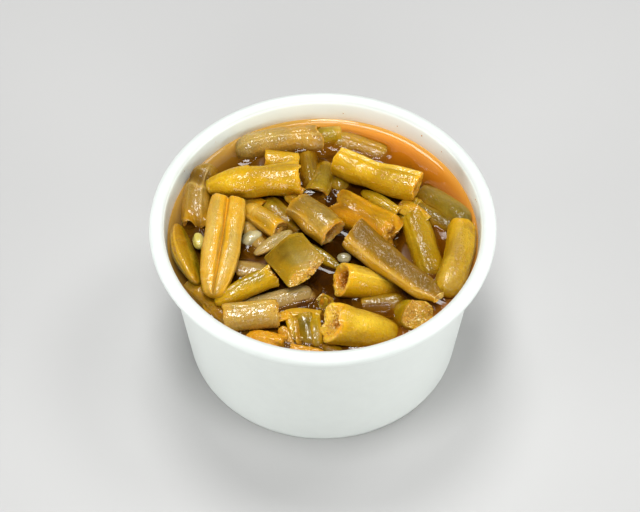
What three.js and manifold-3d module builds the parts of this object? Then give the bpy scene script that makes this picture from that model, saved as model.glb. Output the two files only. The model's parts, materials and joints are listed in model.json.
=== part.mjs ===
// A paper cup of stewed green beans: cut pods lying in broth, in a squat white food cup with a rolled rim.
// Millimetres, +Z up. The origin is the centre of the ring that the cup stands on, and -Y is the front.
import * as THREE from "three";
import { mergeVertices } from "three/addons/utils/BufferGeometryUtils.js";
import Module from "manifold-3d";

const wasm = await Module();
wasm.setup();

// Cup
const RIM_DIAMETER = 98;
const CUP_HEIGHT = 53;
const FOOT_DIAMETER = 81;
const BOARD = 0.6; // thickness of the paperboard
const ROLL_DIAMETER = 4.3; // outside of the curled rim
const BASE_RECESS = 5; // from the foot up to the underside of the base
const CUP_SIDES = 48;

// Contents
const BROTH_LEVEL = 45.5;
const PILE_TOP = 54.5; // highest that a pod may stand
const SHOWING = 0.9; // least that a pod stands above the broth
const GAP = 0.3; // left between pieces that touch
const WALL_GAP = 0.6; // left between a pod and the wall
const POD_SIDES = 10;
const RING_SPACING = 6; // along a pod
const ROUNDNESS = 0.92; // thickness of a pod as a share of its width, unless its row says otherwise
const SWELL = 0.035; // how much a pod swells over each seed
const SEED_PITCH = 11;
const END_SHARE = 0.46; // the most of a pod's length that one end's shape may take
const PHASE_STEP = 2.4; // radians from one pod's swellings and cuts to the next one's

// Settling of the laid pods
const PASSES = 400;
const PUSH = 0.35; // share of an overlap that one pass takes away
const LEVEL_PUSH = 0.6; // sideways share of a push, so that pods part more by height than sideways
const BALL_STEP = 0.25; // between the balls that stand for a pod, in thicknesses
const END_BALLS = 8; // around the edge of a flat end
const END_BALL_SIZE = 0.32; // in half-thicknesses

// Paperboard edges and the line of the wall, all at the middle of the board
const HALF_BOARD = BOARD / 2;
const ROLL_RADIUS = (ROLL_DIAMETER - BOARD) / 2;
const ROLL_CENTRE = new THREE.Vector2(RIM_DIAMETER / 2 - ROLL_DIAMETER / 2, CUP_HEIGHT - ROLL_DIAMETER / 2);
const WALL_TOP = new THREE.Vector2(ROLL_CENTRE.x - ROLL_RADIUS, ROLL_CENTRE.y);
const WALL_FOOT = new THREE.Vector2(FOOT_DIAMETER / 2 - HALF_BOARD, HALF_BOARD);
const WALL_SLOPE = (WALL_TOP.x - WALL_FOOT.x) / (WALL_TOP.y - WALL_FOOT.y);
const wallInside = (z) => WALL_FOOT.x + (z - WALL_FOOT.y) * WALL_SLOPE - HALF_BOARD;

const SKINS = {
  gold: 0xc79a1e,
  amber: 0xb06f14,
  orange: 0xb5761c,
  brown: 0x9a6e2c,
  pale: 0xa08048,
  olive: 0x7d6c1c,
  green: 0x6e6a1a,
  seed: 0xb9a64a,
};

// The pods as they lie: name, the two ends of the centre-line, width, what the ends are like, and skin.
// Some are flattened to a thickness and rolled about their length in degrees, some narrow or widen towards
// the second end by a taper, some have a cleft along the top, and a bow bends the middle sideways and up.
const TIP_FORM = { taper: 1.16, bow: [0, 0.8] };
const WALL_FORM = { taper: 1.1, bow: [1.8, 0] };
const LEANING_FORM = { thick: 5, roll: 50, bow: [1, 0] };
const FOLD_FORM = { thick: 4.6, roll: -12 };
const WIDE_FORM = { thick: 7, roll: -10 };
const STRAP_FORM = { thick: 4.4, roll: -18, taper: 0.68, bow: [0.8, 0] };
const PODS = [
  ["pod_back_left", [-26.5, 32, 45], [0.5, 36, 45], 8.6, "round torn", "brown", { bow: [-2, 0] }],
  ["pod_back_right", [4.5, 37, 43.5], [20.5, 30.5, 43.5], 7.6, "cut round", "amber"],
  ["pod_gold_tip", [-36.4, 14.8, 49.4], [-8.4, 16.6, 49.8], 9, "tip torn", "gold", TIP_FORM],
  ["pod_behind_tip", [-17.5, 27.4, 46], [-6.8, 26.4, 45.4], 6.4, "cut cut", "gold"],
  ["pod_gold_tube", [4.6, 24.6, 48.5], [27.8, 13.8, 48.8], 8.8, "cut cut", "gold", { bow: [1.2, 0] }],
  ["pod_green_back", [-2.5, 13.5, 44.5], [2, 26.5, 42.5], 7.6, "torn cut", "green"],
  ["pod_left_wall", [-36.4, 22.4, 50.4], [-38.4, 0.5, 45.2], 8, "round torn", "brown", WALL_FORM],
  ["pod_split", [-25.8, 7.5, 48.8], [-28.2, -26, 47.8], 10.4, "cut tip", "pale", { thick: 8.2, cleft: 1.5 }],
  ["pod_left_amber", [-43, 2.5, 47], [-36.5, -20, 45], 9, "tip tip", "amber", LEANING_FORM],
  ["pod_low_left", [-38, -18.6, 44], [-29.6, -28, 42.4], 6.6, "cut round", "amber"],
  ["pod_olive_slim", [-29, -25.5, 47.5], [-12.8, -15.8, 48.2], 6, "tip torn", "olive"],
  ["pod_front_left", [-29, -31, 46], [-12.5, -29.5, 46], 8, "cut torn", "pale"],
  ["pod_grey_slim", [-13.6, -23.6, 44.5], [-2, -21, 45.5], 5.2, "cut tip", "pale"],
  ["pod_flat_fold", [-14, -5.8, 46.2], [-4.7, -20.2, 48], 12.5, "cut torn", "olive", FOLD_FORM],
  ["pod_green_strip", [-9, -3, 47], [5, -12.2, 46], 4, "tip tip", "green", { thick: 3 }],
  ["pod_grey_strip", [-19, -8.2, 46], [-9, 0, 47], 4, "tip tip", "pale", { thick: 3 }],
  ["pod_pale", [-22, 7.5, 46], [-12, -1.5, 45.5], 6.2, "round cut", "pale"],
  ["pod_under_left", [-25, -11.5, 43], [-13, -14, 42.5], 7, "cut round", "pale"],
  ["pod_olive_under", [-17.5, 14.5, 44.5], [-6.5, 2, 42.5], 7.8, "round cut", "olive"],
  ["pod_hollow_brown", [-8, 7.5, 47.8], [4, -4.4, 49.6], 9.2, "cut hollow", "brown"],
  ["pod_orange_wide", [2.6, 11, 46.2], [22, -2.4, 47.6], 10.4, "torn torn", "orange", WIDE_FORM],
  ["pod_strap", [7.2, -4, 48.6], [32.4, -25.2, 47], 8.6, "cut cut", "pale", STRAP_FORM],
  ["pod_green_gold", [25, 7, 45], [33, -15.2, 44.5], 8.6, "torn round", "olive"],
  ["pod_right_wall", [41.5, -0.5, 46.4], [37.2, -25, 46.8], 8.2, "cut round", "gold", { bow: [-1.2, 0] }],
  ["pod_dark_green", [28.5, 16, 43], [42.6, 3, 45.6], 8.4, "cut round", "green", { bow: [-1, 0] }],
  ["pod_bud", [11.5, 15.6, 45.2], [22, 6.8, 45.6], 5, "tip cut", "olive"],
  ["pod_hollow_gold", [4.6, -18.4, 50], [22.4, -16.8, 41], 10, "hollow round", "gold", { taper: 0.8 }],
  ["pod_torn_gold", [1, -33.8, 50.8], [21, -33.4, 42.5], 11.2, "torn round", "gold", { taper: 0.85 }],
  ["pod_end_on", [27, -31, 47.6], [18.5, -21.5, 36], 9.4, "cut cut", "olive"],
  ["pod_front_curl", [-11, -28.4, 45.8], [-0.5, -29, 44.6], 4.5, "tip cut", "amber", { thick: 3 }],
  ["pod_front_dark", [-5, -32.4, 45.6], [-3.4, -38, 40], 7, "torn cut", "green"],
  ["pod_front_orange", [-21.5, -34.5, 44.5], [-10, -38.5, 44.5], 6.4, "round torn", "orange"],
  ["pod_dark_mid", [-2, -25, 43.5], [3.2, -24.4, 43], 5, "cut cut", "olive"],
  ["seed_left", [-35.8, -1.8, 47], [-35.2, -7.4, 47], 3.4, "round round", "seed"],
  ["seed_grey", [-22.4, -3, 45], [-17, 1.6, 45], 4.8, "round round", "seed"],
  ["seed_mid", [4, -9.8, 47], [8, -9.6, 47], 3.4, "round round", "seed"],
];

// Pod ends, from the axis outwards, as [share of the half-width, distance in from the end in half-widths].
// mouth is the cut face or hollow, and skin the outside that runs back from it.
const ENDS = {
  cut: {
    mouth: [[0, 0.14], [0.6, 0.1], [0.74, 0]],
    skin: [[0.96, 0], [1, 0.12]],
    slant: 0.14,
    flat: true,
  },
  hollow: {
    mouth: [[0, 1.4], [0.46, 1.25], [0.68, 0]],
    skin: [[0.95, 0], [1, 0.12]],
    slant: 0.3,
    flat: true,
    opensUp: true,
  },
  torn: {
    mouth: [[0, 0.5], [0.5, 0.42], [0.74, 0]],
    skin: [[1.04, 0], [1, 0.9]],
    slant: 0.22,
    ragged: 0.15,
    flat: true,
    opensUp: true,
  },
  round: {
    mouth: [[0, 0]],
    skin: [[0.5, 0.1], [0.82, 0.38], [1, 0.95]],
  },
  tip: {
    mouth: [[0, 0]],
    skin: [[0.24, 0.15], [0.52, 0.9], [0.8, 1.9], [1, 3.4]],
  },
};

const UP = new THREE.Vector3(0, 0, 1);

// A closed surface with shared vertices, without the flat triangles that a lathe leaves at its poles.
function closed(geometry) {
  geometry.deleteAttribute("normal");
  geometry.deleteAttribute("uv");
  const merged = mergeVertices(geometry, 1e-4);
  const corners = merged.index.array;
  const kept = [];
  for (let i = 0; i < corners.length; i += 3) {
    const [a, b, c] = corners.slice(i, i + 3);
    if (a !== b && b !== c && c !== a) kept.push(a, b, c);
  }
  return merged.setIndex(kept);
}

function solidOf(geometry) {
  return new wasm.Manifold(
    new wasm.Mesh({
      numProp: 3,
      vertProperties: new Float32Array(geometry.attributes.position.array),
      triVerts: new Uint32Array(geometry.index.array),
    }),
  );
}

function geometryOf(solid) {
  const { vertProperties, triVerts } = solid.getMesh();
  return new THREE.BufferGeometry()
    .setAttribute("position", new THREE.BufferAttribute(vertProperties, 3))
    .setIndex(new THREE.BufferAttribute(triVerts, 1));
}

// A solid of revolution about Z from [radius, height] points.
function turned(points) {
  const profile = points.map(([radius, height]) => new THREE.Vector2(radius, height));
  return closed(new THREE.LatheGeometry(profile, CUP_SIDES).rotateX(Math.PI / 2));
}

// The outline of a board that follows a line of points, mitred where the line turns.
function boardOutline(line) {
  const normals = line.slice(1).map((p, i) => {
    const along = p.clone().sub(line[i]).normalize();
    return new THREE.Vector2(-along.y, along.x);
  });
  const offsets = line.map((_, i) => {
    const before = normals[Math.max(i - 1, 0)];
    const after = normals[Math.min(i, normals.length - 1)];
    return before.clone().add(after).multiplyScalar(HALF_BOARD / (1 + before.dot(after)));
  });
  const left = line.map((p, i) => p.clone().add(offsets[i]));
  const right = line.map((p, i) => p.clone().sub(offsets[i]));
  const outline = [...right, ...left.reverse(), right[0]];
  return outline.map((p) => [p.x, p.y]);
}

// One wrapped sheet: a hem folded in under the base, the tapering wall, and the rim curled outwards.
function cupWall() {
  const hemInset = 2 * (BOARD + GAP);
  const hemTop = BASE_RECESS - 2 * GAP;
  const curlSteps = 8;
  const curlEnd = THREE.MathUtils.degToRad(-112);
  const curl = new THREE.EllipseCurve(
    ROLL_CENTRE.x, ROLL_CENTRE.y, ROLL_RADIUS, ROLL_RADIUS, Math.PI, curlEnd, true,
  ).getPoints(curlSteps);
  return turned(
    boardOutline([
      new THREE.Vector2(WALL_FOOT.x - hemInset + hemTop * WALL_SLOPE, hemTop),
      new THREE.Vector2(WALL_FOOT.x - hemInset, HALF_BOARD),
      WALL_FOOT,
      ...curl,
    ]),
  );
}

// A disc whose edge is turned down into the hem.
function cupBase() {
  const top = BASE_RECESS + BOARD;
  const skirtFoot = BOARD + GAP;
  const edge = (z) => wallInside(z) - GAP;
  return turned([
    [0, BASE_RECESS],
    [edge(BASE_RECESS) - BOARD, BASE_RECESS],
    [edge(skirtFoot) - BOARD, skirtFoot],
    [edge(skirtFoot), skirtFoot],
    [edge(top), top],
    [0, top],
  ]);
}

// Pods

// A row of the table made ready: its ends as points, its length, and a phase of its own.
function readyPod([name, start, finish, width, ends, skin, form = {}], index) {
  const from = new THREE.Vector3(...start);
  const to = new THREE.Vector3(...finish);
  const plain = { thick: width * ROUNDNESS, roll: 0, taper: 1, cleft: 0, bow: [0, 0] };
  const length = from.distanceTo(to);
  const phase = index * PHASE_STEP;
  return { ...plain, ...form, name, from, to, width, ends: ends.split(" "), skin, length, phase };
}

// The pod's bent centre-line, and the directions across it and up from it.
function layOf(pod) {
  const along = pod.to.clone().sub(pod.from).normalize();
  const across = along.clone().cross(UP).normalize();
  const above = across.clone().cross(along);
  const control = pod.from.clone().lerp(pod.to, 0.5);
  control.addScaledVector(across, 2 * pod.bow[0]).addScaledVector(above, 2 * pod.bow[1]);
  return { curve: new THREE.QuadraticBezierCurve3(pod.from, control, pod.to), across, above };
}

// The ends' outlines in millimetres, from the two tips of the pod inwards.
function endsOf(pod) {
  const half = pod.width / 2;
  return pod.ends.map((kind) => {
    const { mouth, skin, slant = 0, ragged = 0, flat, opensUp } = ENDS[kind];
    const reach = skin.at(-1)[1] * half;
    const unit = half * Math.min(1, (END_SHARE * pod.length) / reach);
    const scaled = (points) => points.map(([share, inwards]) => [share, inwards * unit]);
    return {
      mouth: scaled(mouth),
      skin: scaled(skin),
      slant: slant * half,
      ragged: ragged * half,
      flat,
      opensUp,
    };
  });
}

// How wide the skin is, as a share of the half-width, at a distance along the pod.
function skinShare(pod, ends, along) {
  const shareAt = ({ skin }, inwards) => {
    if (inwards >= skin.at(-1)[1]) return 1;
    const next = Math.max(1, skin.findIndex(([, at]) => at >= inwards));
    const [share0, at0] = skin[next - 1];
    const [share1, at1] = skin[next];
    return THREE.MathUtils.mapLinear(Math.max(inwards, at0), at0, at1, share0, share1);
  };
  const narrowing = THREE.MathUtils.lerp(1, pod.taper, along / pod.length);
  return narrowing * shareAt(ends[0], along) * shareAt(ends[1], pod.length - along);
}

// A pod as a lathe bent along its centre-line, with an oval section. grow makes the larger plain pod that its
// pocket in the broth is cut with.
function podGeometry(pod, grow = 0) {
  const ends = endsOf(pod);
  const plainMouth = [[0, 0]];
  const profileOf = ({ mouth, skin }) => [...(grow ? plainMouth : mouth), ...skin];
  const first = profileOf(ends[0]).map(([share, inwards]) => [share, inwards - grow]);
  const last = profileOf(ends[1]).map(([share, inwards]) => [share, pod.length + grow - inwards]);
  const start = first.at(-1)[1];
  const finish = last.at(-1)[1];
  const spans = Math.max(1, Math.round((finish - start) / RING_SPACING));
  const ringAt = (i) => THREE.MathUtils.lerp(start, finish, i / spans);
  const middle = Array.from({ length: spans - 1 }, (_, i) => [1, ringAt(i + 1)]);
  const profile = [...first, ...middle, ...last.reverse()];
  const points = profile.map(([share, along]) => new THREE.Vector2(share, along));
  const geometry = closed(new THREE.LatheGeometry(points, POD_SIDES));

  const { curve, across, above } = layOf(pod);
  const roll = THREE.MathUtils.degToRad(pod.roll);
  const positions = geometry.attributes.position;
  for (let i = 0; i < positions.count; i++) {
    const share = Math.hypot(positions.getX(i), positions.getZ(i));
    const angle = Math.atan2(positions.getX(i), positions.getZ(i));
    const along = positions.getY(i);
    const narrowing = THREE.MathUtils.lerp(1, pod.taper, along / pod.length);
    const swell = 1 + SWELL * Math.sin((2 * Math.PI * along) / SEED_PITCH + pod.phase);
    const size = share * narrowing * (grow ? 1 + SWELL : swell);
    const notch = grow ? 0 : pod.cleft * Math.max(0, Math.cos(angle)) ** 6 * share;
    const sideways = size * (pod.width / 2) * Math.sin(angle) + grow * Math.sin(angle) * share;
    const upwards = size * (pod.thick / 2) * Math.cos(angle) + grow * Math.cos(angle) * share - notch;
    const shift = grow ? 0 : endShift(pod, ends, along, share, angle);
    const t = THREE.MathUtils.clamp(along / pod.length, 0, 1);
    const place = curve.getPoint(t).addScaledVector(curve.getTangent(t), along - t * pod.length + shift);
    place.addScaledVector(across, sideways * Math.cos(roll) - upwards * Math.sin(roll));
    place.addScaledVector(above, sideways * Math.sin(roll) + upwards * Math.cos(roll));
    positions.setXYZ(i, place.x, place.y, place.z);
  }
  return geometry;
}

// Cut faces stand a little aslant and torn ones are ragged, so their points shift along the pod, inwards.
// Hollow and torn ends are cut back most on top, so that they open upwards.
function endShift(pod, ends, along, share, angle) {
  const fade = (inwards) => Math.max(0, 1 - inwards / pod.width);
  const wave = ({ slant, ragged, opensUp }, phase) => {
    const lean = opensUp ? Math.cos(angle) : Math.sin(angle + phase);
    return share * (slant * (1 + lean) + ragged * (1 + Math.sin(3 * angle + 2 * phase)));
  };
  return (
    fade(along) * wave(ends[0], pod.phase) - fade(pod.length - along) * wave(ends[1], pod.phase + 1)
  );
}

// Settling: the laid pods are pushed apart, kept inside the cup and left showing above the broth

// Balls that fill the pod, with each one's place along it, and small ones around the edge of each flat end.
function ballsOf(pod) {
  const ends = endsOf(pod);
  const { curve, across, above } = layOf(pod);
  const roll = THREE.MathUtils.degToRad(pod.roll);
  const flatwise = across.clone().multiplyScalar(Math.cos(roll)).addScaledVector(above, Math.sin(roll));
  const edgewise = above.clone().multiplyScalar(Math.cos(roll)).addScaledVector(across, -Math.sin(roll));
  const least = Math.min(pod.thick, pod.width) / 2;
  const balls = [];
  const ball = (along, aside, rise, radius) => {
    const at = along / pod.length;
    const centre = curve.getPoint(at).addScaledVector(flatwise, aside).addScaledVector(edgewise, rise);
    balls.push({ centre, radius, at });
  };

  const count = Math.ceil(pod.length / (BALL_STEP * pod.thick));
  for (let i = 0; i <= count; i++) {
    const along = (i / count) * pod.length;
    const share = skinShare(pod, ends, along) * (1 + SWELL);
    const radius = least * share;
    const inset = Math.min(radius, pod.length / 2);
    const spread = (Math.max(pod.width - pod.thick, 0) / 2) * share;
    const rows = spread > 0.15 * radius ? Math.ceil((2 * spread) / radius) + 1 : 1;
    for (let row = 0; row < rows; row++) {
      const aside = rows > 1 ? THREE.MathUtils.lerp(-spread, spread, row / (rows - 1)) : 0;
      ball(THREE.MathUtils.clamp(along, inset, pod.length - inset), aside, 0, radius);
    }
  }
  ends.forEach(({ flat }, end) => {
    if (!flat) return;
    const share = (end ? pod.taper : 1) * (1 + SWELL);
    const radius = END_BALL_SIZE * least * share;
    const along = end ? pod.length - 0.8 * radius : 0.8 * radius;
    for (let i = 0; i < END_BALLS; i++) {
      const angle = (2 * Math.PI * i) / END_BALLS;
      const aside = ((pod.width / 2) * share - radius) * Math.sin(angle);
      ball(along, aside, ((pod.thick / 2) * share - radius) * Math.cos(angle), radius);
    }
  });
  return balls;
}

function nudge(pod, at, push) {
  pod.from.addScaledVector(push, 2 * (1 - at) * PUSH);
  pod.to.addScaledVector(push, 2 * at * PUSH);
}

function keepLength(pod) {
  const middle = pod.from.clone().lerp(pod.to, 0.5);
  const halfSpan = pod.to.clone().sub(pod.from).setLength(pod.length / 2);
  pod.from.copy(middle).sub(halfSpan);
  pod.to.copy(middle).add(halfSpan);
}

function partPods(pod, other) {
  const reach = (pod.length + other.length) / 2 + pod.width + other.width;
  const middle = pod.from.clone().lerp(pod.to, 0.5);
  if (middle.distanceTo(other.from.clone().lerp(other.to, 0.5)) > reach) return;
  let deepest = { overlap: 0 };
  for (const a of pod.balls) {
    for (const b of other.balls) {
      const overlap = a.radius + b.radius + GAP - a.centre.distanceTo(b.centre);
      if (overlap > deepest.overlap) deepest = { overlap, a, b };
    }
  }
  if (!deepest.overlap) return;
  const push = deepest.a.centre.clone().sub(deepest.b.centre).setLength(deepest.overlap / 2);
  push.x *= LEVEL_PUSH;
  push.y *= LEVEL_PUSH;
  nudge(pod, deepest.a.at, push);
  nudge(other, deepest.b.at, push.negate());
}

function keepInCup(pod) {
  let deepest = { overlap: 0 };
  for (const ball of pod.balls) {
    const { centre, radius } = ball;
    const overlap = Math.hypot(centre.x, centre.y) + radius + WALL_GAP - wallInside(centre.z);
    if (overlap > deepest.overlap) deepest = { overlap, ball };
  }
  if (deepest.overlap) {
    const { centre, at } = deepest.ball;
    nudge(pod, at, new THREE.Vector3(-centre.x, -centre.y, 0).setLength(deepest.overlap));
  }
  const top = Math.max(...pod.balls.map(({ centre, radius }) => centre.z + radius));
  const lift = Math.max(0, BROTH_LEVEL + SHOWING - top) - Math.max(0, top - PILE_TOP);
  pod.from.z += lift * PUSH;
  pod.to.z += lift * PUSH;
}

function settle(pods) {
  for (let pass = 0; pass < PASSES; pass++) {
    for (const pod of pods) pod.balls = ballsOf(pod);
    pods.forEach((pod, i) => pods.slice(i + 1).forEach((other) => partPods(pod, other)));
    pods.forEach(keepInCup);
    pods.forEach(keepLength);
  }
  return pods;
}

// Broth that fills the cup to its level, with a pocket for each pod. Slivers that the pods cut loose go.
function broth(pods) {
  const floor = BASE_RECESS + BOARD + GAP;
  const pool = turned([
    [0, floor],
    [wallInside(floor) - GAP, floor],
    [wallInside(BROTH_LEVEL) - GAP, BROTH_LEVEL],
    [0, BROTH_LEVEL],
  ]);
  const left = pods.reduce((rest, pod) => rest.subtract(solidOf(podGeometry(pod, GAP))), solidOf(pool));
  const [largest] = left.decompose().sort((a, b) => b.volume() - a.volume());
  return geometryOf(largest);
}

// The whole cup
const dish = new THREE.Group();

function add(name, geometry, color, roughness) {
  const mesh = new THREE.Mesh(geometry, new THREE.MeshStandardMaterial({ color, roughness, metalness: 0 }));
  mesh.name = name;
  dish.add(mesh);
}

const pods = settle(PODS.map(readyPod));
add("cup_wall", cupWall(), 0xf4f4f0, 0.55);
add("cup_base", cupBase(), 0xf4f4f0, 0.55);
add("broth", broth(pods), 0x7a3f08, 0.08);
for (const pod of pods) add(pod.name, podGeometry(pod), SKINS[pod.skin], 0.3);

export default dish;
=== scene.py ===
# A squat paper cup of stewed green beans: fine pods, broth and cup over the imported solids. Metres, +Z up.
import json
import math

import bpy
import numpy as np
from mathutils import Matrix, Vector
from mathutils.bvhtree import BVHTree


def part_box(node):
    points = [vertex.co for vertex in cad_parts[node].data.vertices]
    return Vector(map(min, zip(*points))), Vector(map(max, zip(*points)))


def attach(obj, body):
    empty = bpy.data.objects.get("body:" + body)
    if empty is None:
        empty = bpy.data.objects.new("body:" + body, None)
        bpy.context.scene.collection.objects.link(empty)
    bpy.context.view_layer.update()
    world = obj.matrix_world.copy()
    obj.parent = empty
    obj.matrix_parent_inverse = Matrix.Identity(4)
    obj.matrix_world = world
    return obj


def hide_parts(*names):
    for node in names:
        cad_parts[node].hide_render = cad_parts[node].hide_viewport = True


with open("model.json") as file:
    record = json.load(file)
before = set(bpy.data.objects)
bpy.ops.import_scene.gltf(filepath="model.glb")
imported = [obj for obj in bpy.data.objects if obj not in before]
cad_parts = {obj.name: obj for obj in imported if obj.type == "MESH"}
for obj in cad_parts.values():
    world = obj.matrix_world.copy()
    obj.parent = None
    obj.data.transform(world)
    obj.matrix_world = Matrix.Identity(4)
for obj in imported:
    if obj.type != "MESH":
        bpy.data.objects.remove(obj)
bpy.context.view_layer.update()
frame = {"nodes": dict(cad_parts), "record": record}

MM = 0.001
BODY = "root"
DOWN = Vector((0, 0, -1))

# Cup
BOARD = 0.6 * MM
ROLL_DIAMETER = 4.3 * MM
HEM_INSET = 1.8 * MM
HEM_TOP = 4.4 * MM
HEM_ROWS = 6
FOOT_BEND = 1.2 * MM  # height of the bend at the foot
WALL_ROWS = 40
WALL_END = 0.5 * MM  # the straight wall stops this far below the middle of the curl
CURL_END = math.radians(-112)
CURL_STEPS = 26
CUP_COLUMNS = 240
SEAM_ANGLE = math.radians(75)  # at the back, counted from +X
SEAM_STEP = 0.35 * MM
SEAM_FADE = math.radians(50)
SEAM_END = 1.5 * MM  # the seam's step stops this far below the middle of the curl
INSIDE_LIMIT = 0.2 * MM  # points this close to the inside are painted brighter, as painted light on the inner wall
STAIN, STAIN_REACH = 0.3, 2.2 * MM  # how strong the broth's stain is, and how far from its level it goes
RIM_PAINTED_LIGHT, RIM_DEPTH = 0.1, 1.2 * MM  # share of the inside's painted light that the rim gets, and how far down
BASE_GAP = 0.3 * MM
BASE_BEND = 0.8 * MM
BASE_ROWS = 12
BASE_MIDDLE = 2 * MM  # radius of the smallest ring of the base
SOFT_EDGE = 0.1 * MM

# Broth
MENISCUS_RISE = 0.8 * MM
MENISCUS_REACH = 0.9 * MM
BROTH_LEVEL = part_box("broth")[1].z - MENISCUS_RISE
BROTH_RINGS = 150
BROTH_COLUMNS = 420
BROTH_SIDE_ROWS = 8
WALL_OVERLAP = 0.15 * MM  # how far the surface reaches into the board, so that no gap shows
SIDE_GAP = 0.05 * MM
DEEPEST = 20 * MM
DEPTH_RAYS = [Vector((x, y, -1)).normalized() for x, y in ((0, 0), (1, 0), (-1, 0), (0, 1), (0, -1))]
GLOW_REACH = 8 * MM  # how far the white wall's light is painted into the broth as a glow
GLOW_FRONT = 0.25  # share of that painted glow at the front, where the wall is in shade
EDGE_REACH = 1.7 * MM  # width of the pale edge where the broth is thin at the wall, partly painted light
EDGE_PALENESS = 0.8
ORANGE_FROM, ORANGE_TO = -12 * MM, 22 * MM  # the painted glow is brightest orange on the right
BROTH_CLEAR = 2.4 * MM  # depth at which two thirds of the light is lost
SHALLOW = 6 * MM

# Pods
POD_COLUMNS = 80
ROW_SPACING = 0.32 * MM
FEWEST_ROWS = 24
MOUTH_ROWS = 26
SECTION_WAVES = 5  # the roundest features of a section that are kept
LENGTH_PASSES = 24  # of smoothing along a pod
TIP_POWER = 0.72
FULLNESS = 1.07  # makes up for what the smoothing takes off
RAY_START = 14 * MM
POINTED = 1e-6  # a row narrower than this is a tip

# View of the photograph
FOCAL_PIXELS = 1700
FRAME_PIXELS = 640
SENSOR = 36
CAMERA_TARGET = Vector((-0.78, 0, 35.06)) * MM
CAMERA_DISTANCE = 492.5 * MM
CAMERA_ELEVATION = math.radians(52.27)

# Soft lights: name, place, diameter and watts.
LIGHTS = [
    ("overhead", (-0.04, -0.14, 0.72), 0.2, 2.3),
    ("back top", (-0.05, 0.24, 0.7), 0.26, 2.7),
    ("right top", (0.38, 0.2, 0.7), 0.24, 1.4),
    ("ceiling", (0, -0.1, 0.95), 1.3, 0.7),
    ("front fill", (0.05, -0.75, 0.36), 0.5, 2.2),
    ("low front", (0.05, -0.9, 0.1), 0.5, 1.2),
    ("low left", (-0.85, -0.25, 0.1), 0.5, 6.4),
    ("low right", (0.85, -0.25, 0.1), 0.5, 6.4),
]
AMBIENT = 0.07
FLOOR_SIDE = 4


# Small helpers

def srgb(red, green, blue):
    """A display colour, 0 to 255, as the linear colour that sockets hold."""
    def linear(value):
        share = value / 255
        return share / 12.92 if share <= 0.04045 else ((share + 0.055) / 1.055) ** 2.4
    return (linear(red), linear(green), linear(blue), 1)


def set_inputs(tree, node, inputs):
    """Sets a node's inputs to values, or links them to sockets."""
    for name, value in inputs.items():
        if isinstance(value, bpy.types.NodeSocket):
            tree.links.new(value, node.inputs[name])
        else:
            node.inputs[name].default_value = value


def add_node(tree, kind, inputs=None, **settings):
    made = tree.nodes.new(kind)
    for name, value in settings.items():
        setattr(made, name, value)
    set_inputs(tree, made, inputs or {})
    return made


def calculate(tree, operation, first, second=0.0, clamp=False):
    inputs = {0: first, 1: second}
    return add_node(tree, "ShaderNodeMath", inputs, operation=operation, use_clamp=clamp).outputs[0]


def multiply(tree, first, second):
    return calculate(tree, "MULTIPLY", first, second)


def scaled_sum(tree, value, factor, addend, clamp=False):
    """value times factor, plus addend."""
    inputs = {0: value, 1: factor, 2: addend}
    return add_node(tree, "ShaderNodeMath", inputs, operation="MULTIPLY_ADD", use_clamp=clamp).outputs[0]


def stretch(tree, vector, scale):
    inputs = {0: vector, 1: scale}
    return add_node(tree, "ShaderNodeVectorMath", inputs, operation="MULTIPLY").outputs[0]


def scaled_vector(tree, vector, factor):
    inputs = {0: vector, "Scale": factor}
    return add_node(tree, "ShaderNodeVectorMath", inputs, operation="SCALE").outputs[0]


def blend_colours(tree, share, first, second):
    inputs = {0: share, 6: first, 7: second}
    return add_node(tree, "ShaderNodeMix", inputs, data_type="RGBA").outputs[2]


def paint_over(tree, colour, layers):
    """Lays display colours over a colour, each with the share of it that shows."""
    for share, tint in layers:
        colour = blend_colours(tree, share, colour, srgb(*tint))
    return colour


def ramp(tree, value, low, high, to_low=0.0, to_high=1.0):
    inputs = {"Value": value, "From Min": low, "From Max": high, "To Min": to_low, "To Max": to_high}
    return add_node(tree, "ShaderNodeMapRange", inputs, interpolation_type="SMOOTHSTEP").outputs["Result"]


def noise(tree, vector, scale, detail, roughness):
    inputs = {"Vector": vector, "Scale": scale, "Detail": detail, "Roughness": roughness}
    return add_node(tree, "ShaderNodeTexNoise", inputs).outputs[0]


def bumped(tree, height, strength, distance):
    inputs = {"Strength": strength, "Distance": distance, "Height": height}
    return add_node(tree, "ShaderNodeBump", inputs).outputs[0]


def object_place(tree):
    return add_node(tree, "ShaderNodeTexCoord").outputs["Object"]


def attribute(tree, name, output="Fac"):
    return add_node(tree, "ShaderNodeAttribute", attribute_name=name).outputs[output]


def group_node(tree, group, inputs):
    return add_node(tree, "ShaderNodeGroup", inputs, node_tree=group).outputs


def new_material(name):
    material = bpy.data.materials.new(name)
    material.use_nodes = True
    return material, material.node_tree, material.node_tree.nodes["Principled BSDF"]


def link_object(name, data):
    made = bpy.data.objects.new(name, data)
    bpy.context.scene.collection.objects.link(made)
    return made


def mesh_object(name, points, faces, material, attributes=None):
    mesh = bpy.data.meshes.new(name)
    mesh.from_pydata(points, [], faces)
    for title, values in (attributes or {}).items():
        values = np.asarray(values, np.float32)
        kind = "FLOAT_VECTOR" if values.ndim == 2 else "FLOAT"
        made = mesh.attributes.new(title, kind, "POINT")
        made.data.foreach_set("vector" if values.ndim == 2 else "value", values.ravel())
    mesh.shade_smooth()
    mesh.materials.append(material)
    return link_object(name, mesh)


def place_piece(piece, slot, *nodes):
    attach(piece, BODY)
    if nodes:
        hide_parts(*nodes)


def rows_of_points(points):
    return [tuple(point) for point in points.reshape(-1, 3)]


def ring_angles(count):
    return np.arange(count) * 2 * math.pi / count


def away_from(angles, angle):
    """The turn from one angle to others, at most half a turn either way."""
    return np.angle(np.exp(1j * (angles - angle)))


def bell(values, width):
    return np.exp(-((values / width) ** 2))


def unit(vectors):
    return vectors / np.linalg.norm(vectors, axis=-1, keepdims=True)


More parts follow.
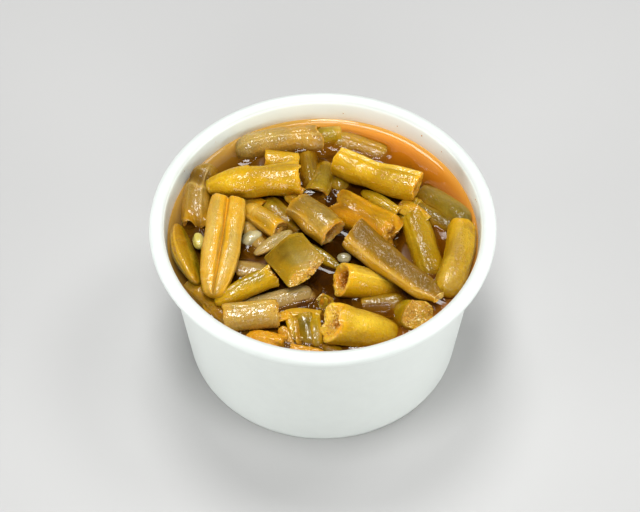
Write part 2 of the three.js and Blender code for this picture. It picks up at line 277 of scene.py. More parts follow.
def grid_faces(rows, columns, closed=False):
    """Faces between rows of points, each row closed on itself. closed joins the last row to the first."""
    faces = []
    for row in range(rows if closed else rows - 1):
        low = row * columns
        high = (row + 1) % rows * columns
        for column in range(columns):
            after = (column + 1) % columns
            faces.append((low + column, low + after, high + after, high + column))
    return faces


def loft_faces(rows, columns):
    """Faces between rows, closed at both ends by two pole points that follow the points of the rows."""
    faces = grid_faces(rows, columns)
    first_pole = rows * columns
    last_row = (rows - 1) * columns
    for column in range(columns):
        after = (column + 1) % columns
        faces.append((first_pole, after, column))
        faces.append((first_pole + 1, last_row + column, last_row + after))
    return faces


def surface_of(pieces):
    points, faces = [], []
    for piece in pieces:
        start = len(points)
        points += [vertex.co.copy() for vertex in piece.data.vertices]
        faces += [tuple(start + corner for corner in face.vertices) for face in piece.data.polygons]
    return BVHTree.FromPolygons(points, faces)


# Camera, floor and light

def make_camera():
    camera = bpy.data.cameras.new("camera")
    camera.sensor_width = SENSOR
    camera.lens = FOCAL_PIXELS / FRAME_PIXELS * SENSOR
    camera.clip_start = 10 * MM
    holder = link_object("camera", camera)
    back = Vector((0, -math.cos(CAMERA_ELEVATION), math.sin(CAMERA_ELEVATION)))
    holder.location = CAMERA_TARGET + back * CAMERA_DISTANCE
    holder.rotation_euler = (math.pi / 2 - CAMERA_ELEVATION, 0, 0)
    bpy.context.scene.camera = holder


def make_floor():
    material, tree, surface = new_material("pale floor")
    set_inputs(tree, surface, {"Base Color": srgb(186, 186, 185), "Roughness": 0.7})
    side = FLOOR_SIDE
    corners = [(-side, -side, 0), (side, -side, 0), (side, side, 0), (-side, side, 0)]
    mesh_object("floor", corners, [(0, 1, 2, 3)], material)


def make_light(name, place, size, watts):
    light = bpy.data.lights.new(name, "AREA")
    light.shape = "DISK"
    light.size = size
    light.energy = watts
    holder = link_object(name, light)
    holder.location = place
    holder.rotation_euler = (CAMERA_TARGET - Vector(place)).to_track_quat("-Z", "Y").to_euler()


def make_studio():
    make_camera()
    make_floor()
    for light in LIGHTS:
        make_light(*light)
    world = bpy.data.worlds.new("studio")
    world.use_nodes = True
    background = world.node_tree.nodes["Background"]
    set_inputs(world.node_tree, background, {"Color": (1, 1, 1, 1), "Strength": AMBIENT})
    bpy.context.scene.world = world
    bpy.context.scene.view_settings.view_transform = "Standard"


# Shader groups

def shader_group(name, inputs, outputs):
    group = bpy.data.node_groups.new(name, "ShaderNodeTree")
    for title, kind in inputs:
        group.interface.new_socket(title, in_out="INPUT", socket_type=kind)
    for title in outputs:
        group.interface.new_socket(title, in_out="OUTPUT", socket_type="NodeSocketFloat")
    return group, group.nodes.new("NodeGroupInput").outputs, group.nodes.new("NodeGroupOutput")


def skin_marks_group():
    """Marks of cooked skin along a straightened pod: broad mottling, streaks and fine relief."""
    inputs = [("Place", "NodeSocketVector"), ("Tone", "NodeSocketFloat")]
    titles = ["Mottle", "Streaks", "Lines", "Specks", "Grain", "Relief"]
    group, given, result = shader_group("cooked skin", inputs, titles)
    shift = add_node(group, "ShaderNodeCombineXYZ", {"X": given["Tone"], "Y": given["Tone"]}).outputs[0]
    moved = {0: given["Place"], 1: shift}
    place = add_node(group, "ShaderNodeVectorMath", moved, operation="ADD").outputs[0]
    mottle = noise(group, stretch(group, place, (0.8, 1, 1)), scale=130, detail=2, roughness=0.5)
    streaks = noise(group, stretch(group, place, (0.1, 1, 1)), scale=900, detail=3, roughness=0.6)
    cross = noise(group, stretch(group, place, (1, 0.4, 0.4)), scale=1250, detail=2, roughness=0.6)
    specks = noise(group, place, scale=2600, detail=2, roughness=0.6)
    grain = noise(group, place, scale=1400, detail=2, roughness=0.6)
    patches = noise(group, place, scale=230, detail=1, roughness=0.5)
    lines = multiply(group, cross, ramp(group, patches, 0.42, 0.62, to_low=0.25))
    relief = scaled_sum(group, streaks, 0.2, lines)
    set_inputs(group, result, {
        "Mottle": ramp(group, mottle, 0.34, 0.66),
        "Streaks": ramp(group, streaks, 0.42, 0.7),
        "Lines": ramp(group, lines, 0.3, 0.62),
        "Specks": ramp(group, specks, 0.56, 0.74),
        "Grain": ramp(group, grain, 0.36, 0.64),
        "Relief": scaled_sum(group, specks, 0.7, relief),
    })
    return group


def wet_film_group():
    """How wet a surface is from place to place, as roughness and as the weight of a clear coat."""
    inputs = [("Place", "NodeSocketVector"), ("Rough", "NodeSocketFloat")]
    group, given, result = shader_group("wet film", inputs, ["Roughness", "Coat"])
    film = noise(group, given["Place"], scale=1300, detail=3, roughness=0.6)
    set_inputs(group, result, {
        "Roughness": scaled_sum(group, film, 0.22, given["Rough"]),
        "Coat": ramp(group, film, 0.44, 0.58, to_low=0.02),
    })
    return group


skin_marks = skin_marks_group()
wet_film = wet_film_group()


# Materials

SHADE_TINT = (92, 60, 5)
GREY_AND_SHEEN_TINT = (164, 144, 92)
NEAR_BROTH_TINT = (134, 84, 2)
GRAIN_TINT = (202, 122, 4)
FIBRE_TINT = (250, 224, 140)


def bean_skin(name, deep, middle, light, turned, flesh=(228, 158, 20), inside=(118, 54, 2)):
    """Wet cooked skin over translucent flesh, with golden flesh where a pod is cut or torn open."""
    material, tree, surface = new_material(name)
    place = attribute(tree, "place", "Vector")
    marks = group_node(tree, skin_marks, {"Place": place, "Tone": attribute(tree, "tone")})
    film = group_node(tree, wet_film, {"Place": place, "Rough": 0.22})
    shade = attribute(tree, "shade")
    hollow = attribute(tree, "hollow")
    turn = scaled_sum(tree, attribute(tree, "turn"), 2.0, -0.75)
    mottled = ramp(tree, marks["Mottle"], 0.0, 1.0, to_low=0.45)
    skin = blend_colours(tree, mottled, srgb(*deep), srgb(*middle))
    skin = paint_over(tree, skin, [
        (scaled_sum(tree, marks["Mottle"], 0.5, turn, clamp=True), turned),
        (multiply(tree, marks["Streaks"], 0.22), light),
        (multiply(tree, marks["Lines"], 0.3), light),
        (shade, SHADE_TINT),
        # Grey skin, and near tops painted sheen.
        (attribute(tree, "grey_and_sheen"), GREY_AND_SHEEN_TINT),
        (multiply(tree, marks["Specks"], 0.3), deep),
        # Light colour of seams and fibres, and near tops painted highlights.
        (attribute(tree, "pale_and_sheen"), light),
        (attribute(tree, "groove"), flesh),
        # Darker orange near the broth's level.
        (attribute(tree, "near_broth"), NEAR_BROTH_TINT),
    ])
    pulp = blend_colours(tree, marks["Mottle"], srgb(*flesh), srgb(*light))
    pulp = paint_over(tree, pulp, [
        # Painted shade: flesh deep in a hollow mouth takes the dark inside colour.
        (hollow, inside),
        (multiply(tree, marks["Grain"], 0.4), GRAIN_TINT),
        (multiply(tree, marks["Specks"], 0.8), FIBRE_TINT),
    ])
    matt = calculate(tree, "MAXIMUM", shade, hollow)
    glossy = calculate(tree, "SUBTRACT", 1.0, matt, clamp=True)
    drops = ramp(tree, noise(tree, place, scale=1400, detail=2, roughness=0.6), 0.36, 0.64)
    set_inputs(tree, surface, {
        "Base Color": blend_colours(tree, attribute(tree, "flesh"), skin, pulp),
        "Roughness": calculate(tree, "ADD", film["Roughness"], multiply(tree, matt, 0.4)),
        "Normal": bumped(tree, marks["Relief"], 0.8, 0.45 * MM),
        "Specular IOR Level": 0.16,
        "Specular Tint": (1, 0.78, 0.35, 1),
        "Coat Weight": multiply(tree, film["Coat"], glossy),
        "Coat Roughness": 0.1,
        "Coat IOR": 1.7,
        "Coat Normal": bumped(tree, drops, 0.4, 0.1 * MM),
        "Subsurface Weight": 0.3,
        "Subsurface Radius": (1.0, 0.5, 0.12),
        "Subsurface Scale": 1.5 * MM,
    })
    return material


def broth_material():
    """Oily orange-brown broth: golden where thin, a painted glow near the wall, and dark brown where deep.
    """
    material, tree, surface = new_material("broth")
    place = object_place(tree)
    depth = attribute(tree, "depth")
    cloud = noise(tree, place, scale=90, detail=3, roughness=0.55)
    ripple = noise(tree, place, scale=260, detail=2, roughness=0.5)
    colour = blend_colours(tree, ramp(tree, cloud, 0.3, 0.7), srgb(34, 15, 0), srgb(66, 34, 1))
    colour = paint_over(tree, colour, [(ramp(tree, depth, 0.0, SHALLOW, 1.0, 0.0), (112, 68, 2))])
    # Painted light: near the lit white wall the broth is painted a bright orange glow.
    lit = blend_colours(tree, attribute(tree, "orange"), srgb(156, 102, 5), srgb(248, 140, 0))
    colour = blend_colours(tree, attribute(tree, "glow"), colour, lit)
    clear = calculate(tree, "EXPONENT", multiply(tree, depth, -1 / BROTH_CLEAR))
    set_inputs(tree, surface, {
        # The pale edge is thin broth over the white wall, partly painted light.
        "Base Color": paint_over(tree, colour, [(attribute(tree, "edge"), (255, 208, 104))]),
        "Alpha": calculate(tree, "SUBTRACT", 1.0, clear),
        "Roughness": 0.03,
        "IOR": 1.36,
        "Specular IOR Level": 0.5,
        "Normal": bumped(tree, ripple, 0.05, 0.3 * MM),
    })
    return material


def paper_material():
    """Coated white board: faint fibre clouds, a satin film, and an orange stain by the broth."""
    material, tree, surface = new_material("coated paper")
    place = object_place(tree)
    cloud = noise(tree, place, scale=260, detail=4, roughness=0.6)
    fibre = noise(tree, place, scale=2400, detail=3, roughness=0.65)
    colour = blend_colours(tree, ramp(tree, cloud, 0.3, 0.7), srgb(206, 211, 207), srgb(209, 214, 210))
    # Painted light: the inside is painted brighter than the outside and the rim.
    layers = [(attribute(tree, "inside_painted_light"), (241, 252, 247)), (attribute(tree, "stain"), (238, 176, 84))]
    set_inputs(tree, surface, {
        "Base Color": paint_over(tree, colour, layers),
        "Roughness": ramp(tree, cloud, 0.25, 0.75, 0.34, 0.46),
        "Normal": bumped(tree, fibre, 0.12, 0.06 * MM),
    })
    return material


def seed_material():
    material, tree, surface = new_material("bean seed")
    place = attribute(tree, "place", "Vector")
    tone = attribute(tree, "tone")
    marks = group_node(tree, skin_marks, {"Place": place, "Tone": tone})
    film = group_node(tree, wet_film, {"Place": place, "Rough": 0.16})
    colour = blend_colours(tree, tone, srgb(196, 180, 80), srgb(136, 126, 92))
    set_inputs(tree, surface, {
        "Base Color": paint_over(tree, colour, [(multiply(tree, marks["Mottle"], 0.5), (220, 208, 160))]),
        "Roughness": film["Roughness"],
        "Coat Weight": film["Coat"],
        "Coat Roughness": 0.06,
        "Subsurface Weight": 0.3,
        "Subsurface Radius": (1.0, 0.7, 0.3),
        "Subsurface Scale": 1.2 * MM,
    })
    return material


def sunken_material():
    material, tree, surface = new_material("sunken bean")
    mottle = noise(tree, object_place(tree), scale=300, detail=3, roughness=0.6)
    tone = attribute(tree, "tone")
    colour = blend_colours(tree, ramp(tree, tone, 0.2, 0.5), srgb(74, 52, 2), srgb(104, 66, 2))
    layers = [
        (ramp(tree, tone, 0.6, 0.9), (94, 54, 3)),
        (ramp(tree, mottle, 0.35, 0.75, to_high=0.5), (60, 40, 3)),
    ]
    set_inputs(tree, surface, {"Base Color": paint_over(tree, colour, layers), "Roughness": 0.4})
    return material


def crumb_material():
    material, tree, surface = new_material("crumb")
    patch = noise(tree, object_place(tree), scale=500, detail=1, roughness=0.5)
    colour = blend_colours(tree, ramp(tree, patch, 0.35, 0.55), srgb(160, 96, 4), srgb(220, 164, 30))
    colour = paint_over(tree, colour, [(ramp(tree, patch, 0.56, 0.66), (236, 214, 150))])
    set_inputs(tree, surface, {"Base Color": colour, "Roughness": 0.2, "Coat Weight": 0.6})
    return material


# Pods

class CentreLine:
    """A pod's bent axis, found from the points of its solid."""

    def __init__(self, points):
        points = np.unique(points.round(6), axis=0)
        self.middle = points.mean(0)
        spread = points - self.middle
        axis = np.linalg.eigh(spread.T @ spread)[1][:, -1]
        rightwards = axis[0] - 0.5 * axis[1] > 0  # an axis points right, or towards the viewer
        self.axis = axis * (1 if rightwards else -1)
        along = spread @ self.axis
        powers = np.stack([np.ones_like(along), along, along**2], 1)
        self.bend = np.linalg.lstsq(powers, spread - np.outer(along, self.axis), rcond=None)[0]
        self.ends = along.min(), along.max()

    def at(self, along):
        """The axis points at these lengths, and the directions along, up and aside there."""
        along = np.asarray(along, float)[..., None]
        points = self.middle + along * self.axis + self.bend[0]
        points = points + along * self.bend[1] + along**2 * self.bend[2]
        ahead = unit(self.axis + self.bend[1] + 2 * along * self.bend[2])
        up = np.array((0.0, 0.0, 1.0))
        up = unit(up - ahead * (ahead @ up)[..., None])
        return points, ahead, up, np.cross(ahead, up)


def round_off(values, waves):
    """Smooths a closed row of values, keeping its broad waves."""
    spectrum = np.fft.rfft(values, axis=-1)
    spectrum[..., waves + 1:] = 0
    return np.fft.irfft(spectrum, values.shape[-1], axis=-1)


def smooth_rows(values, passes):
    for _ in range(passes):
        values[1:-1] = 0.25 * values[:-2] + 0.5 * values[1:-1] + 0.25 * values[2:]
    return values


def solid_of(node):
    mesh = frame["nodes"][node].data
    points = [vertex.co.copy() for vertex in mesh.vertices]
    return np.array(points), BVHTree.FromPolygons(points, [tuple(face.vertices) for face in mesh.polygons])


def reach(tree, origins, directions, miss=0.0):
    """How far inside RAY_START each ray from outside meets the solid."""
    flat = zip(origins.reshape(-1, 3), directions.reshape(-1, 3))
    hits = [tree.ray_cast(Vector(origin), Vector(direction))[3] for origin, direction in flat]
    found = [miss if hit is None else RAY_START - hit for hit in hits]
    return np.array(found).reshape(origins.shape[:-1])


# Mouths of open ends, from the rim inwards: share of the skin's radius, and depth in radii.
MOUTHS = {
    "cut": [
        (0.99, -0.05), (0.94, -0.1), (0.86, -0.11), (0.76, -0.06), (0.6, 0.05),
        (0.4, 0.02), (0.2, 0.07), (0.06, 0.08),
    ],
    "torn": [
        (1.0, -0.05), (0.95, -0.12), (0.85, -0.1), (0.74, 0.04), (0.6, 0.3),
        (0.46, 0.46), (0.25, 0.42), (0.07, 0.46),
    ],
    "hollow": [
        (0.99, -0.06), (0.93, -0.1), (0.82, -0.12), (0.7, -0.04), (0.6, 0.12),
        (0.54, 0.4), (0.48, 0.8), (0.4, 1.1), (0.26, 1.25), (0.08, 1.3),
    ],
    "granular": [
        (1.0, -0.04), (0.97, -0.12), (0.88, -0.17), (0.74, -0.14), (0.5, -0.08),
        (0.25, -0.06), (0.06, -0.05),
    ],
    "pitted": [
        (1.0, -0.04), (0.96, -0.12), (0.86, -0.15), (0.68, -0.1), (0.48, 0.02),
        (0.32, 0.22), (0.22, 0.44), (0.05, 0.52),
    ],
}
# Open ends: share of the edge's finer waves that is kept, waves added to the edge in half widths, how ragged
# the flesh is, and how brown it is at least.
ENDS = {
    "cut": dict(waves=0.5, jags=0.06, ragged=0.4, brown=0.0),
    "torn": dict(waves=0.7, jags=0.16, ragged=1.0, brown=0.15),
    "hollow": dict(waves=0.2, jags=0.04, ragged=0.8, brown=0.1),
    "granular": dict(waves=0.3, jags=0.22, ragged=1.2, brown=0.45),
    "pitted": dict(waves=0.6, jags=0.2, ragged=1.1, brown=0.0),
}
# Kinds of ends by how deep their middle lies, in half widths.
END_DEPTHS = [("closed", -0.25), ("cut", 0.1), ("torn", 0.7), ("hollow", math.inf)]
# Ends that look other than their depth says. -1 is a pod's left or back end, 1 its right or front end.
END_KINDS = {("pod_flat_fold", -1): "cut", ("pod_torn_gold", -1): "pitted"}
END_KINDS[("pod_orange_wide", -1)] = "granular"
GRANULAR_PODS = ["flat_fold", "orange_wide", "front_left", "olive_slim", "front_orange", "end_on"]
END_KINDS |= {("pod_" + name, 1): "granular" for name in GRANULAR_PODS}
UNDERCUTS = {("pod_flat_fold", 1): 1.2 * MM}  # how far the underside of an end stands back
# How far inwards an end's shape reaches, in half widths, and at most as a share of the length.
END_INNER, END_SHARE = 1.3, 0.4
EDGE_RING = 0.85  # share of the radius at which an end's edge is read
EDGE_JAGS = range(2, 9)  # waves round an edge
END_INSET = 0.12  # an open end's skin is read this many half widths from its edge
CONE_FROM, CONE_WIDTH = 0.5, 0.6  # a tip that is this narrow this far in, in half widths, is a cone


def spaced(length, closed):
    """Places of the rows along a pod, from 0 to 1, drawn together towards its closed ends."""
    share = np.linspace(0, 1, max(FEWEST_ROWS, round(length / ROW_SPACING)))
    if all(closed):
        return 0.5 - 0.5 * np.cos(math.pi * share)
    if closed[0]:
        return 1 - np.cos(0.5 * math.pi * share)
    if closed[1]:
        return np.sin(0.5 * math.pi * share)
    return share


class Pod:
    """A pod's skin as rows of radii read from its solid, with what its two ends are like."""

    def __init__(self, node, seed):
        self.node = node
        self.random = np.random.default_rng(seed)
        self.jagged = np.random.default_rng((seed, 1))
        points, self.tree = solid_of(node)
        self.line = CentreLine(points)
        self.angles = ring_angles(POD_COLUMNS)
        low, high = self.line.ends
        self.length = high - low
        self.half = self.radii(np.array([0.5 * (low + high)])).mean()
        self.kinds, self.edges = zip(*[self.end(sign) for sign in (-1, 1)])
        self.rows()

    def radii(self, along):
        """Radius at each length and angle, met from outside. along is one length a row, or one a point."""
        along = np.broadcast_to(along[..., None] if along.ndim == 1 else along, (len(along), POD_COLUMNS))
        points, _, up, aside = self.line.at(along)
        turned = self.angles[None, :, None]
        outwards = np.cos(turned) * up + np.sin(turned) * aside
        return reach(self.tree, points + RAY_START * outwards, -outwards)

    def end(self, sign):
        """What an end is like, and how far along its edge lies at each angle."""
        low, high = self.line.ends
        tip = high if sign > 0 else low
        inner = tip - sign * min(END_INNER * self.half, END_SHARE * self.length)
        ring = self.radii(np.array([inner]))[0]
        point, ahead, up, aside = self.line.at(tip)
        outwards = np.cos(self.angles)[:, None] * up + np.sin(self.angles)[:, None] * aside
        outside = point + sign * RAY_START * ahead
        starts = outside + EDGE_RING * ring[:, None] * outwards
        edge = reach(self.tree, starts, np.broadcast_to(-sign * ahead, starts.shape), np.nan)
        edge = np.where(np.isnan(edge), np.nanmean(edge), edge)
        middle = reach(self.tree, outside[None], -sign * ahead[None])[0]
        depth = (edge.mean() - middle) / self.half
        kind = next(name for name, limit in END_DEPTHS if depth < limit)
        if kind == "closed":
            return kind, np.full(POD_COLUMNS, tip + sign * middle)
        kind = END_KINDS.get((self.node, sign), kind)
        slant = round_off(edge, 1)
        jags = np.zeros(POD_COLUMNS)
        for waves in EDGE_JAGS:
            size, start = self.jagged.normal(0, 1), self.jagged.uniform(0, 2 * math.pi)
            jags += ENDS[kind]["jags"] * self.half * size / waves * np.sin(waves * self.angles + start)
        undercut = UNDERCUTS.get((self.node, sign), 0) * (0.5 - 0.5 * np.cos(self.angles))
        finer = ENDS[kind]["waves"] * (round_off(edge, 4) - slant)
        return kind, tip + sign * (slant + finer + jags - undercut)

    def rows(self):
        closed = [kind == "closed" for kind in self.kinds]
        self.share = spaced(self.length, closed)
        self.along = self.edges[0] + self.share[:, None] * (self.edges[1] - self.edges[0])
        insets = [0 if is_closed else END_INSET * self.half for is_closed in closed]
        sampled = np.clip(self.along, self.edges[0] + insets[0], self.edges[1] - insets[1])
        radius = round_off(self.radii(sampled), ROUNDED.get(self.node, SECTION_WAVES))
        radius[0] = 0 if closed[0] else radius[0]
        radius[-1] = 0 if closed[1] else radius[-1]
        self.radius = FULLNESS * self.blunt(np.maximum(smooth_rows(radius, LENGTH_PASSES), 0), closed)

    def blunt(self, radius, closed):
        """Rounds off the tips, which the solid has as cones."""
        widest = radius.max(0)
        rounded = widest * (radius / widest) ** TIP_POWERS.get(self.node, TIP_POWER)
        for end, near in ((0, self.share < 0.5), (1, self.share >= 0.5)):
            inner = np.abs(self.share - end) * self.length > CONE_FROM * self.half
            cone = radius[near & inner].mean(1).min() < CONE_WIDTH * self.half
            if closed[end] and cone:
                radius = np.where(near[:, None], rounded, radius)
        return radius


class TuckedBean:
    """A plain bean between two points in millimetres, for the gaps low down between the pods."""

    LINE_POINTS = 40
    OVALNESS = 0.05

    def __init__(self, name, start, end, width, kinds, seed, flat=1.0, roll=0.0, lift=0.0):
        self.node = name
        self.random = np.random.default_rng(seed)
        self.angles = ring_angles(POD_COLUMNS)
        start, end = np.array(start) * MM, np.array(end) * MM
        share = np.linspace(0, 1, self.LINE_POINTS)[:, None]
        arch = 4 * share * (1 - share) * np.array((0, 0, lift * MM))
        self.line = CentreLine(start + share * (end - start) + arch)
        low, high = self.line.ends
        self.length, self.half = high - low, width / 2 * MM
        self.kinds = kinds if (end - start) @ self.line.axis > 0 else kinds[::-1]
        self.edges = np.full(POD_COLUMNS, low), np.full(POD_COLUMNS, high)
        closed = [kind == "closed" for kind in self.kinds]
        self.share = spaced(self.length, closed)
        self.along = low + self.share[:, None] * self.length + np.zeros(POD_COLUMNS)
        cap = np.ones_like(self.share)
        for end_share, is_closed in zip((self.share, 1 - self.share), closed):
            inwards = np.clip(end_share * self.length / self.half, 0, 1)
            cap = cap * np.sqrt(1 - (1 - inwards) ** 2) if is_closed else cap
        section = np.hypot(np.cos(self.angles - roll) / flat, np.sin(self.angles - roll)) ** -1
        oval = 1 + self.OVALNESS * np.cos(2 * self.angles + seed)
        self.radius = self.half * cap[:, None] * section * oval


SEAM_WIDTH, SEAM_LIGHT = 0.35 * MM, 0.35
RIDGE_HEIGHT, RIDGE_WIDTH = 0.14 * MM, 0.4 * MM
FURROW_DEPTH, FURROW_AWAY = 0.1 * MM, 0.9 * MM
CLEFT_DEPTH, CLEFT_WIDTH = 1.5 * MM, 0.15
END_TURN_REACH = 1.5 * MM  # how far from an open end the skin has its second colour
SIDE_FROM, SIDE_REACH = 0.6, 0.7  # painted side glow: where it starts in radians from the top, and its reach
GOLD_WIDTH, GOLD_TURN, GOLD_LIGHT = 0.6, 0.6, 0.7
FRAYED_FLESH = 0.8
LIP, LIP_STEEPNESS = 1.02, 12  # share of the radius where a mouth's flesh starts, and how sharply
# How fast a mouth's flesh darkens with depth, as painted shade in the hollow.
HOLLOW_DARKNESS = 1.7


def seam_marks(pod, angle):
    """The two seams down a pod: a low ridge between two shallow furrows on opposite sides."""
    marks = 0
    ridge = 0
    for side in (angle, angle + math.pi):
        away = away_from(pod.angles, side) * pod.half
        marks = marks + bell(away, SEAM_WIDTH)
        ridge = ridge + RIDGE_HEIGHT * bell(away, RIDGE_WIDTH)
        ridge = ridge - FURROW_DEPTH * bell(np.abs(away) - FURROW_AWAY, SEAM_WIDTH)
    return marks, ridge


def squareness(pod, share):
    """How much further out the corners of a strap's section lie than those of a rounded pod."""
    if share == 0:
        return 1.0
    tiny = 1e-9
    quarter = POD_COLUMNS // 4
    up = np.abs(np.cos(pod.angles)) / (pod.radius[:, :1] + tiny)
    aside = np.abs(np.sin(pod.angles)) / (pod.radius[:, quarter:quarter + 1] + tiny)
    square = (up**4 + aside**4) ** -0.25
    rounded = (up**2 + aside**2) ** -0.5
    return 1 + share * (square / rounded - 1)


def cleft(pod, full):
    """How deep a split pod's groove is at each point, from 0 to 1, widest open at its first end."""
    if pod.node not in CLEFTS:
        return np.zeros_like(full)
    open_share = np.clip(1.15 - 0.5 * pod.share[:, None], 0.3, 1)
    return bell(away_from(pod.angles, CLEFTS[pod.node]), CLEFT_WIDTH) * open_share * np.sqrt(full)


def skin_layers(pod, turns, pale_and_sheen):
    """How far the second colour, the shade, the grey and the light colour show over a pod's skin, partly as
    painted light.
    """
    node = pod.node
    blank = np.zeros_like(pod.radius)
    near_end = np.zeros_like(pod.share)
    for kind, end_share in zip(pod.kinds, (pod.share, 1 - pod.share)):
        if kind != "closed":
            near_end = np.maximum(near_end, bell(end_share * pod.length, END_TURN_REACH))
    # Away from the top the sides take the second colour as painted glow of light through the skin.
    low_side = np.clip((np.abs(away_from(pod.angles, 0)) - SIDE_FROM) / SIDE_REACH, 0, 1)
    turn = turns[0] + (turns[1] - turns[0]) * pod.share[:, None] + blank
    turn = turn + END_TURN_AND_SIDE_GLOW * np.maximum(low_side, near_end[:, None])
    # Undersides are painted darker: painted shade.
    shade = blank + SHADES.get(node, 0.0) + EDGE_SHADE * (0.5 - 0.5 * np.cos(pod.angles)) ** 1.5
    if node in GOLD_SIDES:
        side = bell(away_from(pod.angles, GOLD_SIDES[node]), GOLD_WIDTH)
        turn = turn + GOLD_TURN * side
        shade = shade * (1 - GOLD_LIGHT * side)
    layers = dict(turn=turn, shade=shade, grey_and_sheen=blank + GREY_AND_SHEEN.get(node, 0.0), pale_and_sheen=pale_and_sheen)
    for layer, along, along_reach, angle, angle_reach, amount in PAINT.get(node, []):
        across = bell(away_from(pod.angles, angle), angle_reach)
        stroke = bell(pod.share - along, along_reach)[:, None] * across
        layers[layer] = layers[layer] + amount * stroke
    return layers


def mouth(pod, end, edge_radius, turn):
    """The rows of an open end, from its rim inwards for the second end and outwards for the first."""
    kind = pod.kinds[end]
    rim = np.array(MOUTHS[kind])
    steps = np.linspace(0, len(rim) - 1, MOUTH_ROWS)
    share = np.interp(steps, range(len(rim)), rim[:, 0])[:, None]
    depth = np.interp(steps, range(len(rim)), rim[:, 1])[:, None]
    sign = 1
    if end == 0:
        share, depth = share[::-1], depth[::-1]
        sign = -1
    plane = round_off(pod.edges[end], 1)
    edge = plane + share**2 * (pod.edges[end] - plane)
    blank = np.zeros((MOUTH_ROWS, POD_COLUMNS))
    flesh = blank + np.clip((LIP - share) * LIP_STEEPNESS, 0, 1)
    rows = dict(along=edge - sign * depth * pod.half, radius=share * edge_radius, flesh=flesh)
    rows["ragged"] = ENDS[kind]["ragged"] * flesh
    # Deeper in a mouth the flesh is painted darker, as painted shade; some ends keep a least brownness of
    # browned flesh.
    rows["hollow"] = blank + np.clip(depth * HOLLOW_DARKNESS, ENDS[kind]["brown"], 1)
    rows["turn"] = blank + turn
    return rows | dict(pale_and_sheen=blank, groove=blank, shade=blank, grey_and_sheen=blank)


def bean(pod, seed, material, slot, *nodes):
    """One pod: its skin with seams, and the mouths of its open ends, wrinkled by the pod skin tree."""
    node = pod.node
    marks, ridge = seam_marks(pod, SEAMS.get(node, pod.random.uniform(0, math.pi)))
    turns = TURNS.get(node, pod.random.uniform(0.1, 0.5, 2))
    full = np.clip(pod.radius / pod.half, 0, 1)
    groove = cleft(pod, full)
    radius = pod.radius * squareness(pod, SQUARE.get(node, 0.0)) + RIDGES.get(node, 1.0) * ridge * full**2
    for middle, waist_reach, narrowing in WAISTS.get(node, []):
        radius = radius * (1 - narrowing * bell(pod.share - middle, waist_reach))[:, None]
    radius = radius - CLEFT_DEPTH * groove
    frayed = np.full_like(radius, FRAYED.get(node, 0.0))
    skin = dict(along=pod.along, radius=radius, flesh=FRAYED_FLESH * frayed, ragged=frayed, groove=groove)
    skin["hollow"] = np.zeros_like(radius)
    rows = [skin | skin_layers(pod, turns, SEAM_LIGHT * marks * full)]
    if pod.kinds[0] != "closed":
        rows.insert(0, mouth(pod, 0, radius[0], turns[0]))
    if pod.kinds[1] != "closed":
        rows.append(mouth(pod, 1, radius[-1], turns[1]))
    whole = {key: np.concatenate([row[key] for row in rows]) for key in rows[0]}
    piece = pod_mesh(pod, whole, material)
    apply_tree(piece, pod_skin, SKIN_RELIEF | {"Seed": float(seed), "Skin": material})
    place_piece(piece, slot, *nodes)
    return piece


def flattened(pod, out, up, aside):
    """Thins a flat pod, lifts it and lets one side hang down."""
    if pod.node not in FLATS:
        return out
    tilt, thinning, lift, droop = FLATS[pod.node]
    flat_up = math.cos(tilt) * up + math.sin(tilt) * aside
    out = out - thinning * (out * flat_up).sum(-1, keepdims=True) * flat_up
    over = np.clip((out * aside).sum(-1, keepdims=True) / pod.half, 0, None)
    return out + (lift - droop * over**2) * up


def pod_mesh(pod, rows, material):
    """A mesh from a pod's rows, closed by a pole point at each end, with its marks as attributes."""
    points, _, up, aside = pod.line.at(rows["along"])
    turned = pod.angles[None, :, None]
    out = rows["radius"][..., None] * (np.cos(turned) * up + np.sin(turned) * aside)
    points = points + flattened(pod, out, up, aside)
    across = rows["radius"] * np.cos(pod.angles), rows["radius"] * np.sin(pod.angles)
    place = np.stack([rows["along"], *across], -1)
    poles = [points[0].mean(0), points[-1].mean(0)]
    first = 1 if rows["radius"][0].max() < POINTED else 0
    last = len(points) - (1 if rows["radius"][-1].max() < POINTED else 0)
    points, place = points[first:last], place[first:last]
    rows = {key: values[first:last] for key, values in rows.items()}
    flat = np.concatenate([points.reshape(-1, 3), poles])
    attributes = {"place": np.concatenate([place.reshape(-1, 3), place[[0, -1]].mean(1)])}
    for key in ("flesh", "hollow", "ragged", "pale_and_sheen", "groove", "turn", "shade", "grey_and_sheen"):
        attributes[key] = np.concatenate([rows[key].ravel(), rows[key][[0, -1]].mean(1)])
    attributes["tone"] = np.full(len(flat), TONES.get(pod.node, pod.random.uniform()))
    attributes["near_broth"] = NEAR_BROTH_STRENGTH * np.clip(1 - (flat[:, 2] - BROTH_LEVEL) / NEAR_BROTH_RISE, 0, 1) ** 1.5
    name = pod.node.replace("pod_", "bean_")
    faces = loft_faces(len(points), POD_COLUMNS)
    return mesh_object(name, rows_of_points(flat), faces, material, attributes)


# Geometry nodes

def geometry_tree(name, inputs):
    tree = bpy.data.node_groups.new(name, "GeometryNodeTree")
    tree.interface.new_socket("Geometry", in_out="INPUT", socket_type="NodeSocketGeometry")
    for title, kind in inputs:
        tree.interface.new_socket(title, in_out="INPUT", socket_type=kind)
    tree.interface.new_socket("Geometry", in_out="OUTPUT", socket_type="NodeSocketGeometry")
    return tree, tree.nodes.new("NodeGroupInput").outputs, tree.nodes.new("NodeGroupOutput").inputs


